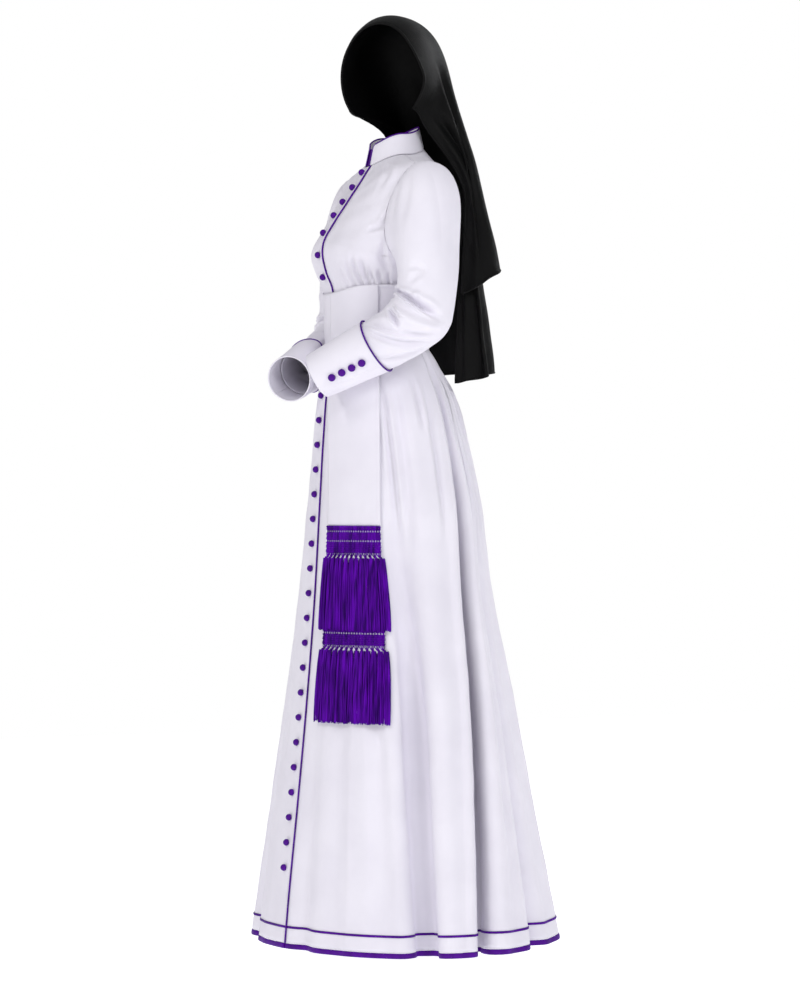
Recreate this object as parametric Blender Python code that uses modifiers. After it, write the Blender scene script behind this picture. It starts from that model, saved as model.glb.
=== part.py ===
"""Nun's habit as it is worn, with no wearer inside: a white piped robe, its waist sash with two
fringed tails, and a two-tier black veil.

Metres, +Z up. X runs to the wearer's left and -Y is the front. The origin is the middle of the
neck, level with the top of the shoulders, where the wearer carries the robe.

Angles are in degrees, from the centre front round towards the wearer's left. Cloth is made as
lofted grids of points, one for each cut piece, thickened inwards by a Solidify modifier.
"""

import math

import bmesh
import bpy
import numpy as np
from mathutils import Matrix

# ---------------------------------------------------------------- driving sizes

WALL = 0.0016  # robe cloth with its seam allowance
SASH_WALL = 0.0012
VEIL_WALL = 0.0011
SEAM_GAP = 0.0003  # between two pieces that are sewn together
LAY_GAP = 0.0004  # between a piece and what it lies on

WAIST_Z = -0.335  # seam between bodice and skirt, under the sash
HEM_Z = -1.425
HEM_LIFT = 0.022  # the hem rides up a little at the back
TORSO_TURN = -10.0  # degrees that the chest is turned over the hem, towards the wearer's right
TURN_TOP_Z = -0.300
BINDING_HEIGHT = 0.0095
TAPE_UP = 0.036  # height of the tape's lower edge above the hem
TAPE_WIDTH = 0.0042
TAPE_THICKNESS = 0.0008

SASH_TOP_Z = -0.236
SASH_BOTTOM_Z = -0.417  # at the front; the lower edge rises round the sides
SASH_STANDOFF = 0.0019  # clears the piping that runs under the band
FRONT_TAIL_END_Z = -0.668
BACK_TAIL_END_Z = -0.832
HEADER_HEIGHT = 0.050
FRINGE_DROP = 0.1350
LOCKS = 16  # in each fringe

OVERLAP_EDGE = 0.0135  # the right front's edge, left of the centre front
OVERLAP_FLARE = 0.007  # how much further it stands at the hem
UNDERLAP_EDGE = -0.013  # the left front's hidden edge
PIPING_RADIUS = 0.0015

BUTTON_RADIUS = 0.0062
BUTTON_HEIGHT = 0.0088
CUFF_BUTTON_RADIUS = 0.0070
BUTTON_GAP = 0.0005
CUFF_BUTTON_START = 0.0357  # from the cuff's mouth to the first one
CUFF_BUTTON_PITCH = 0.0218
SKIRT_BUTTON_PITCH = 0.0448
SKIRT_BUTTONS = 20
SKIRT_BUTTON_TOP_Z = -0.4325
BODICE_BUTTON_ZS = (-0.026, -0.054, -0.081, -0.106, -0.138, -0.177, -0.216)

COLLAR_HEIGHT = 0.038
COLLAR_WALL = 0.0018
COLLAR_NOTCH = 0.0125  # half the gap between the collar's two ends

CUFF_LENGTH = 0.127
CUFF_WALL = 0.0020
SLEEVE_SHORT = 0.072  # the sleeve ends this far up inside the cuff
CUFF_EASE = {"left": -0.0002, "right": 0.0010}  # how much further the turned-back edge stands off
CUFF_SLANT = -0.003  # the turned-back edge lies a little further back on the outer side

# ---------------------------------------------------------------- section tables

# The bodice, ring by ring. share 0 is the waist seam and 1 the neckline; a ring passes through a
# side point, a centre front point and a centre back point, on a superellipse of the given powers.
BODICE_RINGS = (
    # share side_x side_y  side_z  front_y front_z back_y  back_z  front_power back_power
    (0.00, 0.119, -0.036, -0.335, -0.1195, -0.335, 0.047, -0.335, 2.00, 2.00),
    (0.16, 0.124, -0.033, -0.240, -0.1235, -0.240, 0.056, -0.240, 2.00, 2.00),
    (0.26, 0.131, -0.030, -0.214, -0.1355, -0.208, 0.063, -0.208, 2.00, 2.05),
    (0.34, 0.137, -0.027, -0.200, -0.1415, -0.176, 0.069, -0.184, 2.00, 2.10),
    (0.40, 0.141, -0.025, -0.190, -0.1395, -0.155, 0.074, -0.168, 2.00, 2.15),
    (0.50, 0.148, -0.021, -0.150, -0.1200, -0.118, 0.083, -0.136, 1.95, 2.20),
    (0.60, 0.155, -0.018, -0.100, -0.1005, -0.089, 0.089, -0.104, 1.90, 2.30),
    (0.70, 0.158, -0.014, -0.056, -0.0855, -0.067, 0.090, -0.074, 1.92, 2.30),
    (0.80, 0.148, -0.009, -0.022, -0.0730, -0.049, 0.084, -0.044, 1.98, 2.20),
    (0.90, 0.103, -0.003, -0.007, -0.0620, -0.032, 0.072, -0.010, 2.00, 2.10),
    (1.00, 0.060, 0.002, 0.005, -0.0505, -0.014, 0.056, 0.022, 2.00, 2.00),
)
ARMHOLE = (0.40, 0.80)  # shares of the underarm and of the shoulder tip
ARMHOLE_HALF_ANGLE = 30.0
BUST = {"angle": 36.0, "share": 0.36, "half_angle": 22.0, "half_share": 0.10, "depth": 0.009}

# The skirt, level by level.
SKIRT_RINGS = (
    # z      side_x  front_y back_y  front_power back_power
    (-1.440, 0.338, -0.240, 0.297, 2.00, 2.00),
    (-1.354, 0.324, -0.230, 0.280, 2.00, 2.00),
    (-1.171, 0.291, -0.206, 0.243, 2.00, 2.00),
    (-0.988, 0.262, -0.184, 0.210, 1.95, 1.95),
    (-0.805, 0.232, -0.1655, 0.175, 1.90, 1.90),
    (-0.622, 0.200, -0.1520, 0.156, 1.85, 1.85),
    (-0.500, 0.172, -0.1430, 0.129, 1.85, 1.85),
    (-0.430, 0.151, -0.1365, 0.108, 1.88, 1.88),
    (-0.385, 0.134, -0.1290, 0.083, 1.95, 1.95),
    (-0.358, 0.127, -0.1240, 0.066, 1.97, 1.97),
    (-0.335, 0.119, -0.1195, 0.047, 2.00, 2.00),
)

# The large folds that open towards the hem. Each is a valley between two rounded ridges; before
# and after are its half widths on its two sides, so a small one is a steep side.
SKIRT_FOLDS = (
    # hem_angle before after depth  start_z
    (12.0, 4.2, 4.2, 0.015, -0.90),
    (57.6, 2.7, 7.0, 0.043, -0.62),
    (84.0, 3.8, 3.6, 0.054, -0.38),
    (111.6, 5.0, 4.4, 0.036, -0.62),
    (143.0, 5.5, 5.5, 0.036, -0.52),
    (169.0, 5.0, 5.0, 0.042, -0.45),
    (198.0, 5.5, 5.5, 0.036, -0.58),
    (228.0, 5.0, 5.0, 0.044, -0.46),
    (266.0, 4.6, 4.6, 0.048, -0.42),
    (301.0, 5.6, 3.4, 0.036, -0.62),
    (334.0, 4.8, 4.8, 0.020, -0.88),
)
FOLD_ROLL = 0.20  # how far the ridges lean over their valleys, as a share of the depth

# At the waist the folds start further back than they reach the hem.
FOLD_DRIFT = (
    # hem_angle drift
    (0.0, 0.0),
    (40.0, 0.0),
    (60.0, 3.0),
    (83.0, 38.0),
    (108.0, 24.0),
    (140.0, 12.0),
    (180.0, 0.0),
    (220.0, -12.0),
    (252.0, -24.0),
    (279.0, -30.0),
    (300.0, -3.0),
    (320.0, 0.0),
    (360.0, 0.0),
)
GATHERS = {"from": 66.0, "to": 296.0, "count": 17, "depth": 0.0045, "top": -0.395, "fade": -0.66}

SIDE_SEAMS = (84.0, 266.0)  # hem angles, each at the bottom of a fold
BODICE_SIDE_SEAMS = (90.0, 270.0)
FRONT_START, FRONT_END = -2.0, 362.0  # stand for the two front edges, which lap

# The arms, as the sleeves hold them: upper-arm ring, elbow and wrist.
ARMS = {
    "left": {
        "upper": (0.199, -0.043, -0.215),
        "elbow": (0.215, -0.052, -0.302),
        "wrist": (0.063, -0.190, -0.400),
    },
    "right": {
        "upper": (-0.200, 0.020, -0.215),
        "elbow": (-0.228, 0.026, -0.333),
        "wrist": (-0.052, -0.187, -0.402),
    },
}
ELBOW_ROUND = 0.085  # length of arm on each side of the elbow that the bend takes
# Sleeve section along the arm; share 0 is the upper-arm ring and 1 the wrist.
SLEEVE_RINGS = (
    # share across along
    (0.00, 0.0500, 0.0560),
    (0.15, 0.0480, 0.0540),
    (0.30, 0.0480, 0.0520),
    (0.50, 0.0490, 0.0500),
    (0.62, 0.0480, 0.0480),
    (0.80, 0.0440, 0.0440),
    (1.00, 0.0395, 0.0395),
)
SLEEVE_COLUMNS = 16
CAP_ROWS = 5
ARM_ROWS = 10

# The head that the veil is shaped on, turned towards the wearer's left.
HEAD_CENTRE = (0.000, -0.004, 0.150)
HEAD_TURN = 40.0
HEAD_HALF = {"across": 0.086, "along": 0.104, "up": 0.1125}
VEIL_EDGE = (
    # across forward leaves   how far ahead of the head's middle the front edge lies, and how far
    # behind it the cloth leaves the head, from the crown down
    (0.00, 0.063, 0.1035),
    (0.25, 0.063, 0.0800),
    (0.45, 0.062, 0.0480),
    (0.60, 0.055, 0.0200),
    (0.75, 0.043, -0.0080),
    (0.88, 0.046, -0.0280),
    (1.00, 0.050, -0.0420),
)
VEIL_SAG = 30.0  # degrees that a column has slid down the head's side where it leaves it
VEIL_EDGE_ANGLE = 128.0  # from the crown down to the edge's lower end behind each ear
VEIL_ON_HEAD = 0.34  # share of the outer veil's length that lies on the head

# The falling part of each veil, level by level: points on its left edge, left turn, middle of the
# back, right turn and right edge. height is from the hem, 0, to the level where it leaves the head
# or the seam, 1.
OUTER_VEIL_RINGS = (
    # height  left_edge     left_turn      middle          right_turn      right_edge
    (0.00, 0.142, 0.062, 0.158, 0.128, -0.010, 0.184, -0.172, 0.136, -0.160, 0.078),
    (0.18, 0.138, 0.068, 0.146, 0.120, -0.010, 0.177, -0.164, 0.134, -0.158, 0.086),
    (0.40, 0.128, 0.078, 0.127, 0.106, -0.012, 0.168, -0.153, 0.130, -0.150, 0.096),
    (0.56, 0.115, 0.084, 0.115, 0.098, -0.016, 0.158, -0.141, 0.124, -0.134, 0.100),
    (0.70, 0.095, 0.072, 0.099, 0.088, -0.022, 0.146, -0.125, 0.112, -0.112, 0.086),
    (0.80, 0.080, 0.054, 0.088, 0.082, -0.030, 0.134, -0.112, 0.097, -0.092, 0.060),
    (0.90, 0.072, 0.030, 0.083, 0.078, -0.040, 0.122, -0.101, 0.081, -0.078, 0.029),
    (1.00, 0.0775, 0.0055, 0.082, 0.075, -0.052, 0.111, -0.094, 0.065, -0.068, 0.000),
)
OUTER_VEIL_TOP = (
    # across  z
    (-1.0, 0.086),
    (-0.6, 0.140),
    (0.0, 0.160),
    (0.6, 0.140),
    (1.0, 0.086),
)
INNER_VEIL_RINGS = (
    # height  left_edge     left_turn      middle          right_turn      right_edge
    (0.00, 0.112, 0.064, 0.146, 0.116, -0.005, 0.170, -0.160, 0.120, -0.147, 0.080),
    (0.30, 0.114, 0.070, 0.136, 0.103, -0.008, 0.152, -0.148, 0.118, -0.147, 0.090),
    (0.60, 0.108, 0.078, 0.114, 0.096, -0.012, 0.142, -0.132, 0.118, -0.144, 0.100),
    (0.80, 0.095, 0.082, 0.098, 0.092, -0.018, 0.134, -0.118, 0.112, -0.138, 0.102),
    (1.00, 0.086, 0.078, 0.088, 0.086, -0.028, 0.126, -0.104, 0.102, -0.128, 0.098),
)
OUTER_VEIL_CLEARANCE = 0.0125
INNER_VEIL_CLEARANCE = 0.0070
INNER_VEIL_TOP = 0.24  # share of the outer tier's fall at which the lower tier is sewn inside it
OUTER_VEIL_HEM = (
    # across  z
    (-1.0, -0.246),
    (-0.4, -0.206),
    (0.0, -0.196),
    (0.4, -0.204),
    (1.0, -0.250),
)
INNER_VEIL_HEM = (
    # across  z
    (-1.0, -0.408),
    (0.0, -0.386),
    (1.0, -0.410),
)
VEIL_WAVES = (
    # tier   count depth phase
    ("outer", 5.0, 0.0050, 0.6),
    ("inner", 6.0, 0.0060, 2.0),
)

SASH_LOWER_EDGE = (
    # angle z
    (0.0, SASH_BOTTOM_Z),
    (34.0, SASH_BOTTOM_Z),
    (64.0, -0.386),
    (90.0, -0.358),
    (120.0, -0.342),
    (150.0, -0.344),
    (180.0, -0.350),
    (210.0, -0.344),
    (240.0, -0.342),
    (270.0, -0.358),
    (296.0, -0.386),
    (326.0, SASH_BOTTOM_Z),
    (360.0, SASH_BOTTOM_Z),
)

# The sash's tails, level by level.
TAIL_LEVELS = (
    # z    middle_angle width
    (-1.10, 32.0, 0.146),
    (-0.86, 34.2, 0.143),
    (-0.668, 35.1, 0.1235),
    (-0.426, 36.6, 0.122),
    (-0.236, 37.9, 0.121),
)

COLOURS = {
    "white_cloth": (0.84, 0.82, 0.88, 1.0),
    "violet_trim": (0.13, 0.01, 0.36, 1.0),
    "violet_fringe": (0.12, 0.01, 0.33, 1.0),
    "black_cloth": (0.012, 0.012, 0.013, 1.0),
}

# ---------------------------------------------------------------- curves and tables


def smooth_step(x):
    x = np.clip(x, 0.0, 1.0)
    return x * x * (3 - 2 * x)


def row_at(rows, key):
    """The other columns of a table at the given values of its first, on a smooth curve."""
    rows = np.array(rows, float)
    rows = rows[np.argsort(rows[:, 0])]
    keys, values = rows[:, 0], rows[:, 1:]
    steps = np.diff(keys)
    slopes = np.diff(values, axis=0) / steps[:, None]
    before, after = steps[:-1, None], steps[1:, None]
    middle = (slopes[:-1] * after + slopes[1:] * before) / (before + after)
    tangents = np.vstack([slopes[:1], middle, slopes[-1:]])
    key = np.clip(np.asarray(key, float), keys[0], keys[-1])
    i = np.clip(np.searchsorted(keys, key) - 1, 0, len(steps) - 1)
    step = steps[i][..., None]
    x = ((key - keys[i])[..., None]) / step
    return (
        (1 + 2 * x) * (1 - x) ** 2 * values[i]
        + x * (1 - x) ** 2 * step * tangents[i]
        + x * x * (3 - 2 * x) * values[i + 1]
        - x * x * (1 - x) * step * tangents[i + 1]
    )


def unit(vectors):
    return vectors / np.linalg.norm(vectors, axis=-1, keepdims=True)


def signed_power(x, power):
    return np.sign(x) * np.abs(x) ** power


def ring_point(angle, side_x, side_y, front_y, back_y, front_power, back_power):
    """X and Y on a closed ring through its side, front and back points."""
    a = np.radians(angle)
    front = np.cos(a) >= 0
    power = np.where(front, front_power, back_power)
    x = side_x * signed_power(np.sin(a), 2 / power)
    reach = np.where(front, front_y - side_y, back_y - side_y)
    y = side_y + reach * np.abs(np.cos(a)) ** (2 / power)
    return x, y


def turned(points, way=1):
    """Points with the habit's slow turn about +Z put in, or taken out with way -1."""
    share = np.clip((points[..., 2] - HEM_Z) / (TURN_TOP_Z - HEM_Z), 0, 1)
    a = np.radians(TORSO_TURN * way) * share
    x, y = points[..., 0], points[..., 1]
    return np.stack([x * np.cos(a) - y * np.sin(a), x * np.sin(a) + y * np.cos(a), points[..., 2]], -1)


def normals_of(surface, u, v, du, dv):
    """Outward unit normals of surface(u, v), by differences."""
    along = surface(u + du, v) - surface(u - du, v)
    up = surface(u, v + dv) - surface(u, v - dv)
    return unit(np.cross(along, up))


# ---------------------------------------------------------------- the robe's surfaces


def straight_bodice(angle, share):
    """The bodice's outer face, before the turn. share runs from the waist seam to the neckline."""
    angle, share = np.broadcast_arrays(np.asarray(angle, float), np.asarray(share, float))
    row = np.moveaxis(row_at(BODICE_RINGS, share), -1, 0)
    side_x, side_y, side_z, front_y, front_z, back_y, back_z, front_power, back_power = row
    x, y = ring_point(angle, side_x, side_y, front_y, back_y, front_power, back_power)
    lift = np.cos(np.radians(angle)) ** 2
    end_z = np.where(np.cos(np.radians(angle)) >= 0, front_z, back_z)
    z = side_z + (end_z - side_z) * lift
    turned = np.abs((angle + 180) % 360 - 180)
    cup = np.exp(-(((turned - BUST["angle"]) / BUST["half_angle"]) ** 2))
    cup *= np.exp(-(((share - BUST["share"]) / BUST["half_share"]) ** 2))
    out = np.radians(angle)
    x = x + BUST["depth"] * cup * np.sin(out)
    y = y - BUST["depth"] * cup * np.cos(out)
    return np.stack([x, y, z], -1)


def hem_height(angle):
    """The hem's height at a hem angle: level, and a little higher at the back."""
    back = 0.5 - 0.5 * np.cos(np.radians(angle))
    return HEM_Z + HEM_LIFT * back**2


def straight_skirt(angle, share):
    """The skirt's outer face, before the turn. angle is where a line of the cloth reaches the hem,
    and share runs from the waist seam, 0, to the hem, 1."""
    angle, share = np.broadcast_arrays(np.asarray(angle, float), np.asarray(share, float))
    z = WAIST_Z + share * (hem_height(angle) - WAIST_Z)
    round_angle = angle % 360
    drift = row_at(FOLD_DRIFT, round_angle)[..., 0]
    valley = np.zeros_like(z)
    roll = np.zeros_like(z)
    for hem_angle, before, after, depth, start_z in SKIRT_FOLDS:
        across = (angle - hem_angle + 180) % 360 - 180
        across = across / np.where(across < 0, before, after)
        grown = np.clip((start_z - z) / (start_z - HEM_Z), 0, 1) ** 0.9
        bell = depth * grown * np.exp(-(across**2))
        valley += bell
        roll += bell * across
    g = GATHERS
    phase = (round_angle - g["from"]) / (g["to"] - g["from"])
    inside = smooth_step(phase * 8) * smooth_step((1 - phase) * 8)
    grown = smooth_step((g["top"] - z) / 0.04) * smooth_step((z - g["fade"]) / 0.22)
    valley += g["depth"] * inside * grown * (1 - np.cos(2 * math.pi * g["count"] * phase)) / 2
    row = np.moveaxis(row_at(SKIRT_RINGS, z), -1, 0)
    side_x, front_y, back_y, front_power, back_power = row
    side_y = (front_y + back_y) / 2
    at = angle + drift * np.clip(1 - share, 0, 1)
    x, y = ring_point(at, side_x, side_y, front_y, back_y, front_power, back_power)
    out = np.stack([x / side_x**2, (y - side_y) / (front_y - side_y) ** 2], -1)
    out = unit(out)
    x = x - valley * out[..., 0] + FOLD_ROLL * roll * out[..., 1]
    y = y - valley * out[..., 1] - FOLD_ROLL * roll * out[..., 0]
    return np.stack([x, y, z], -1)


def bodice(angle, share):
    return turned(straight_bodice(angle, share))


def skirt(angle, share):
    return turned(straight_skirt(angle, share))


def bodice_out(angle, share):
    return normals_of(bodice, np.asarray(angle, float), np.asarray(share, float), 0.5, 0.004)


def skirt_out(angle, share):
    down = normals_of(skirt, np.asarray(angle, float), np.asarray(share, float), 0.4, 0.004)
    return -down


def on_bodice(angle, share, out=0.0):
    return bodice(angle, share) + bodice_out(angle, share) * np.asarray(out, float)[..., None]


def on_skirt(angle, share, out=0.0):
    return skirt(angle, share) + skirt_out(angle, share) * np.asarray(out, float)[..., None]


def angle_across(surface, share, distance):
    """The angle at which a surface's front has come this far to the wearer's left."""
    low, high = -30.0, 30.0
    for _ in range(40):
        middle = (low + high) / 2
        if surface(middle, share)[0] < distance:
            low = middle
        else:
            high = middle
    return middle


def share_at_height(surface, z):
    """The share at which the centre front of a surface is at height z."""
    low, high = 0.0, 1.0
    rises = surface(0.0, 1.0)[2] > surface(0.0, 0.0)[2]
    for _ in range(40):
        middle = (low + high) / 2
        if (surface(0.0, middle)[2] < z) == rises:
            low = middle
        else:
            high = middle
    return middle


def front_edge(surface, share, start, flare=0.0):
    """Angles of a front edge that stands start from the centre front, and flare more at the hem."""
    share = np.atleast_1d(share)
    return np.array([angle_across(surface, s, start + flare * s) for s in share])


def tucked(angle, edge, depth):
    """How far inwards the left front lies, to pass under the right front's edge."""
    return depth * (1 - smooth_step((angle - edge) / 6.0))


# ---------------------------------------------------------------- making objects


def new_collection(name):
    made = bpy.data.collections.new(name)
    bpy.context.scene.collection.children.link(made)
    return made


def material(name):
    made = bpy.data.materials.get(name)
    if made is None:
        made = bpy.data.materials.new(name)
        made.use_nodes = True
        shader = made.node_tree.nodes["Principled BSDF"]
        shader.inputs["Base Color"].default_value = COLOURS[name]
        shader.inputs["Roughness"].default_value = 0.55 if "trim" in name else 0.8
        shader.inputs["Metallic"].default_value = 0.0
        made.diffuse_color = COLOURS[name]
    return made


def new_object(name, data, slot):
    data.materials.append(material(slot))
    made = bpy.data.objects.new(name, data)
    HABIT.objects.link(made)
    return made


def grid_mesh(name, points, closed=False):
    """A mesh over a grid of points: rows by columns, and round to the first column if closed."""
    rows, columns = points.shape[:2]
    mesh = bmesh.new()
    verts = [[mesh.verts.new(p) for p in row] for row in points]
    for r in range(rows - 1):
        for c in range(columns if closed else columns - 1):
            d = (c + 1) % columns
            mesh.faces.new((verts[r][c], verts[r][d], verts[r + 1][d], verts[r + 1][c]))
    data = bpy.data.meshes.new(name)
    mesh.to_mesh(data)
    mesh.free()
    data.shade_smooth()
    return data


def cloth(name, points, slot, wall=WALL, closed=False, flip=False):
    """A cut piece: its outer face as a grid of points, thickened inwards."""
    data = grid_mesh(name, points[::-1] if flip else points, closed)
    made = new_object(name, data, slot)
    thick = made.modifiers.new("wall", "SOLIDIFY")
    thick.thickness = wall
    thick.offset = -1.0
    thick.use_even_offset = False
    return made


def cord(name, points, radius, slot, closed=False, sides=0):
    """A piping or binding cord along points."""
    curve = bpy.data.curves.new(name, "CURVE")
    curve.dimensions = "3D"
    curve.bevel_depth = radius
    curve.bevel_resolution = sides
    curve.use_fill_caps = not closed
    spline = curve.splines.new("POLY")
    spline.points.add(len(points) - 1)
    for knot, point in zip(spline.points, points):
        knot.co = (*point, 1.0)
    spline.use_cyclic_u = closed
    return new_object(name, curve, slot)


def place(made, point, out):
    """Stands an object on a point with its own +Z along out."""
    z = unit(np.array(out, float))
    x = unit(np.cross((0.0, 0.0, 1.0), z))
    y = np.cross(z, x)
    turned = Matrix((x, y, z)).transposed().to_4x4()
    made.matrix_world = Matrix.Translation(point) @ turned


# ---------------------------------------------------------------- bodice and skirt


def fold_columns(start, end, spacing=5.6):
    """Hem angles for a panel's columns: evenly spread, with one on each fold's line and flanks."""
    wanted = {start, end}
    if start == FRONT_START:
        wanted |= {3.2, 4.4}
    for hem_angle, before, after, _, _ in SKIRT_FOLDS:
        for turn in (-360, 0, 360):
            for part in (-1.3, -0.65, 0.0, 0.65, 1.3):
                angle = hem_angle + turn + part * (before if part < 0 else after)
                if max(start + 1.5, 5.5) < angle < end - 1.5:
                    wanted.add(angle)
    wanted = sorted(wanted)
    columns = [wanted[0]]
    for angle in wanted[1:]:
        parts = max(1, round((angle - columns[-1]) / spacing))
        columns += list(np.linspace(columns[-1], angle, parts + 1)[1:])
    return np.array(columns)


def skirt_rows(angles_of):
    """Rows of a skirt panel, from the waist seam to the hem binding: each is the angles that
    angles_of gives for a share, with their shares. Two rows follow the tape's edges."""
    rows = []
    for share in (0.0, 0.045, 0.10, 0.17, 0.27, 0.41, 0.58, 0.77):
        angles, columns = angles_of(share)
        length = np.abs(hem_height(columns) - WAIST_Z)
        rows.append((angles, share + SEAM_GAP / length * (share == 0)))
    for height in (TAPE_UP + TAPE_WIDTH, TAPE_UP, BINDING_HEIGHT + SEAM_GAP):
        angles, columns = angles_of(1.0 - height / (WAIST_Z - HEM_Z))
        rows.append((angles, 1 - height / np.abs(hem_height(columns) - WAIST_Z)))
    return rows


def make_skirt():
    left_seam, right_seam = SIDE_SEAMS
    lap = WALL + LAY_GAP + 0.0003
    panels = (
        ("skirt_front_left", None, left_seam),
        ("skirt_back", left_seam, right_seam),
        ("skirt_front_right", right_seam, None),
    )
    for name, start, end in panels:
        columns = fold_columns(FRONT_START if start is None else start, FRONT_END if end is None else end)
        grid = []
        for angles, share in skirt_rows(lambda at: (panel_angles(columns, start, end, at), columns)):
            out = np.zeros_like(angles)
            if start is None:
                level = float(np.mean(share))
                edge = front_edge(straight_skirt, level, OVERLAP_EDGE, OVERLAP_FLARE)[0]
                out = -tucked(angles, edge + 1.5, lap)
            grid.append(on_skirt(angles, share, out))
        cloth(name, np.array(grid), "white_cloth", flip=True)


def panel_angles(columns, start, end, share):
    """A panel's column angles in one row: seams keep their place and front edges stand upright."""
    first, last = columns[0], columns[-1]
    half_gap = 0.11  # degrees, half of a seam's gap
    new_first, new_last = first + half_gap, last - half_gap
    if start is None:
        new_first = front_edge(straight_skirt, share, UNDERLAP_EDGE)[0]
    if end is None:
        edge = front_edge(straight_skirt, share, OVERLAP_EDGE, OVERLAP_FLARE)[0]
        new_last = 360 + edge
    reach = 14.0
    near_last = np.clip(1 - (last - columns) / reach, 0, 1)
    shift = near_last * (new_last - last)
    if start is not None:
        near_first = np.clip(1 - (columns - first) / reach, 0, 1)
        return columns + shift + near_first * (new_first - first)
    edge = front_edge(straight_skirt, share, OVERLAP_EDGE, OVERLAP_FLARE)[0]
    past = OVERLAP_EDGE + 2 * PIPING_RADIUS + 2.5 * SEAM_GAP
    past_piping = front_edge(straight_skirt, share, past, OVERLAP_FLARE)[0]
    near_first = np.clip(1 - (columns - columns[2]) / reach, 0, 1)
    angles = columns + shift + near_first * (past_piping - columns[2])
    angles[:3] = new_first, edge - 0.3, past_piping
    return angles


def armhole_half_angle(share):
    """Half the armhole's width, in degrees, at a share of the bodice's height."""
    low, high = ARMHOLE
    across = (np.asarray(share) - low) / (high - low)
    return ARMHOLE_HALF_ANGLE * np.sqrt(np.clip(1 - (2 * across - 1) ** 2, 0, 1))


def bodice_shares():
    low, high = ARMHOLE
    half = SLEEVE_COLUMNS // 2
    hole = (low + high) / 2 - (high - low) / 2 * np.cos(np.linspace(0, math.pi, half + 1))
    below = np.array([0.0, 0.10, 0.17, 0.23, 0.29, 0.345])
    above = np.array([0.90, 1.0])
    return np.concatenate([below, hole, above])


def make_bodice():
    shares = bodice_shares()
    lap = WALL + LAY_GAP + 0.0003
    grids = {"bodice_front_left": [], "bodice_back": [], "bodice_front_right": []}
    for share in shares:
        half = float(armhole_half_angle(share))
        at = share + SEAM_GAP / 0.35 * (share == 0) - SEAM_GAP / 0.2 * (share == 1)
        edge = angle_across(straight_bodice, share, OVERLAP_EDGE)
        under = angle_across(straight_bodice, share, UNDERLAP_EDGE)
        ring = bodice(90.0, share)
        gap = math.degrees((SEAM_GAP + WALL * 0.25) / 2 / max(ring[0], 0.05)) * 1.3
        left, right = BODICE_SIDE_SEAMS
        near = np.array([under, edge - 0.5, edge + 2.4, edge + 7.5])
        rest = np.linspace(near[-1], left - half - gap, 9)[1:]
        angles = np.concatenate([near, rest])
        out = -tucked(angles, edge + 1.5, lap)
        grids["bodice_front_left"].append(on_bodice(angles, at, out))
        angles = np.linspace(right + half + gap, 360 + edge, 12)
        grids["bodice_front_right"].append(on_bodice(angles, at, np.zeros(12)))
        angles = np.linspace(left + half + gap, right - half - gap, 17)
        grids["bodice_back"].append(on_bodice(angles, at, np.zeros(17)))
    for name, grid in grids.items():
        cloth(name, np.array(grid), "white_cloth")


# ---------------------------------------------------------------- sleeves and cuffs


def body_section(z):
    """The robe's horizontal section at heights from the underarm down: half width, middle and
    half depth."""
    torso = np.array([(row[3], row[1], row[4], row[6]) for row in BODICE_RINGS[:5]])
    lower = np.array([(row[0], row[1], row[2], row[3]) for row in SKIRT_RINGS[:-1]])
    side_x, front_y, back_y = np.moveaxis(row_at(np.vstack([torso, lower]), z), -1, 0)
    return side_x, (front_y + back_y) / 2, (back_y - front_y) / 2


def clear_of_body(points, clearance):
    """Moves points that lie inside the robe's body out to its face and the clearance."""
    points = turned(points, -1)
    half_width, middle, half_depth = body_section(points[..., 2])
    x, y = points[..., 0], points[..., 1] - middle
    reach = np.sqrt((x / half_width) ** 2 + (y / half_depth) ** 2)
    least = 1 + clearance / np.minimum(half_width, half_depth)
    held = (reach**14 + least**14) ** (1 / 14)
    held = np.where(points[..., 2] < -0.165, held, reach)
    scale = held / reach
    moved = points.copy()
    moved[..., 0] = x * scale
    moved[..., 1] = y * scale + middle
    return turned(moved)


def arm_line(side, share):
    """Points and directions of an arm's middle line from the upper-arm ring, 0, to the wrist, 1."""
    upper, elbow, wrist = (np.array(ARMS[side][k]) for k in ("upper", "elbow", "wrist"))
    first, second = unit(elbow - upper), unit(wrist - elbow)
    bend = min(ELBOW_ROUND, 0.95 * np.linalg.norm(elbow - upper))
    start, end = elbow - first * bend, elbow + second * bend
    straight = np.linalg.norm(start - upper)
    curve = np.linalg.norm(end - start) * 1.08
    last = np.linalg.norm(wrist - end)
    at = np.asarray(share, float) * (straight + curve + last)
    k = np.clip((at - straight) / curve, 0, 1)[..., None]
    arc = (1 - k) ** 2 * start + 2 * k * (1 - k) * elbow + k * k * end
    before = np.clip(at - straight, None, 0)[..., None]
    after = np.clip(at - straight - curve, 0, None)[..., None]
    points = arc + before * first + after * second
    directions = unit((1 - k) * first + k * second)
    return points, directions


def sleeve_frame(side, directions):
    """Across and along vectors of the sleeve's sections: outwards from the body, and forwards."""
    upper, elbow, wrist = (np.array(ARMS[side][k]) for k in ("upper", "elbow", "wrist"))
    hinge = unit(np.cross(elbow - upper, wrist - elbow))
    hinge = np.broadcast_to(hinge, directions.shape)
    inwards = np.cross(hinge, directions)
    first = unit(elbow - upper)
    outer = np.array([1.0 if side == "left" else -1.0, 0.0, 0.0])
    outer = unit(outer - first * (outer @ first))
    turn = math.atan2(outer @ hinge.reshape(-1, 3)[0], outer @ np.cross(hinge.reshape(-1, 3)[0], first))
    outwards = inwards * math.cos(turn) + hinge * math.sin(turn)
    forwards = np.cross(outwards, directions)
    if side == "left":
        forwards = -forwards
    return outwards, forwards


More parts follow.
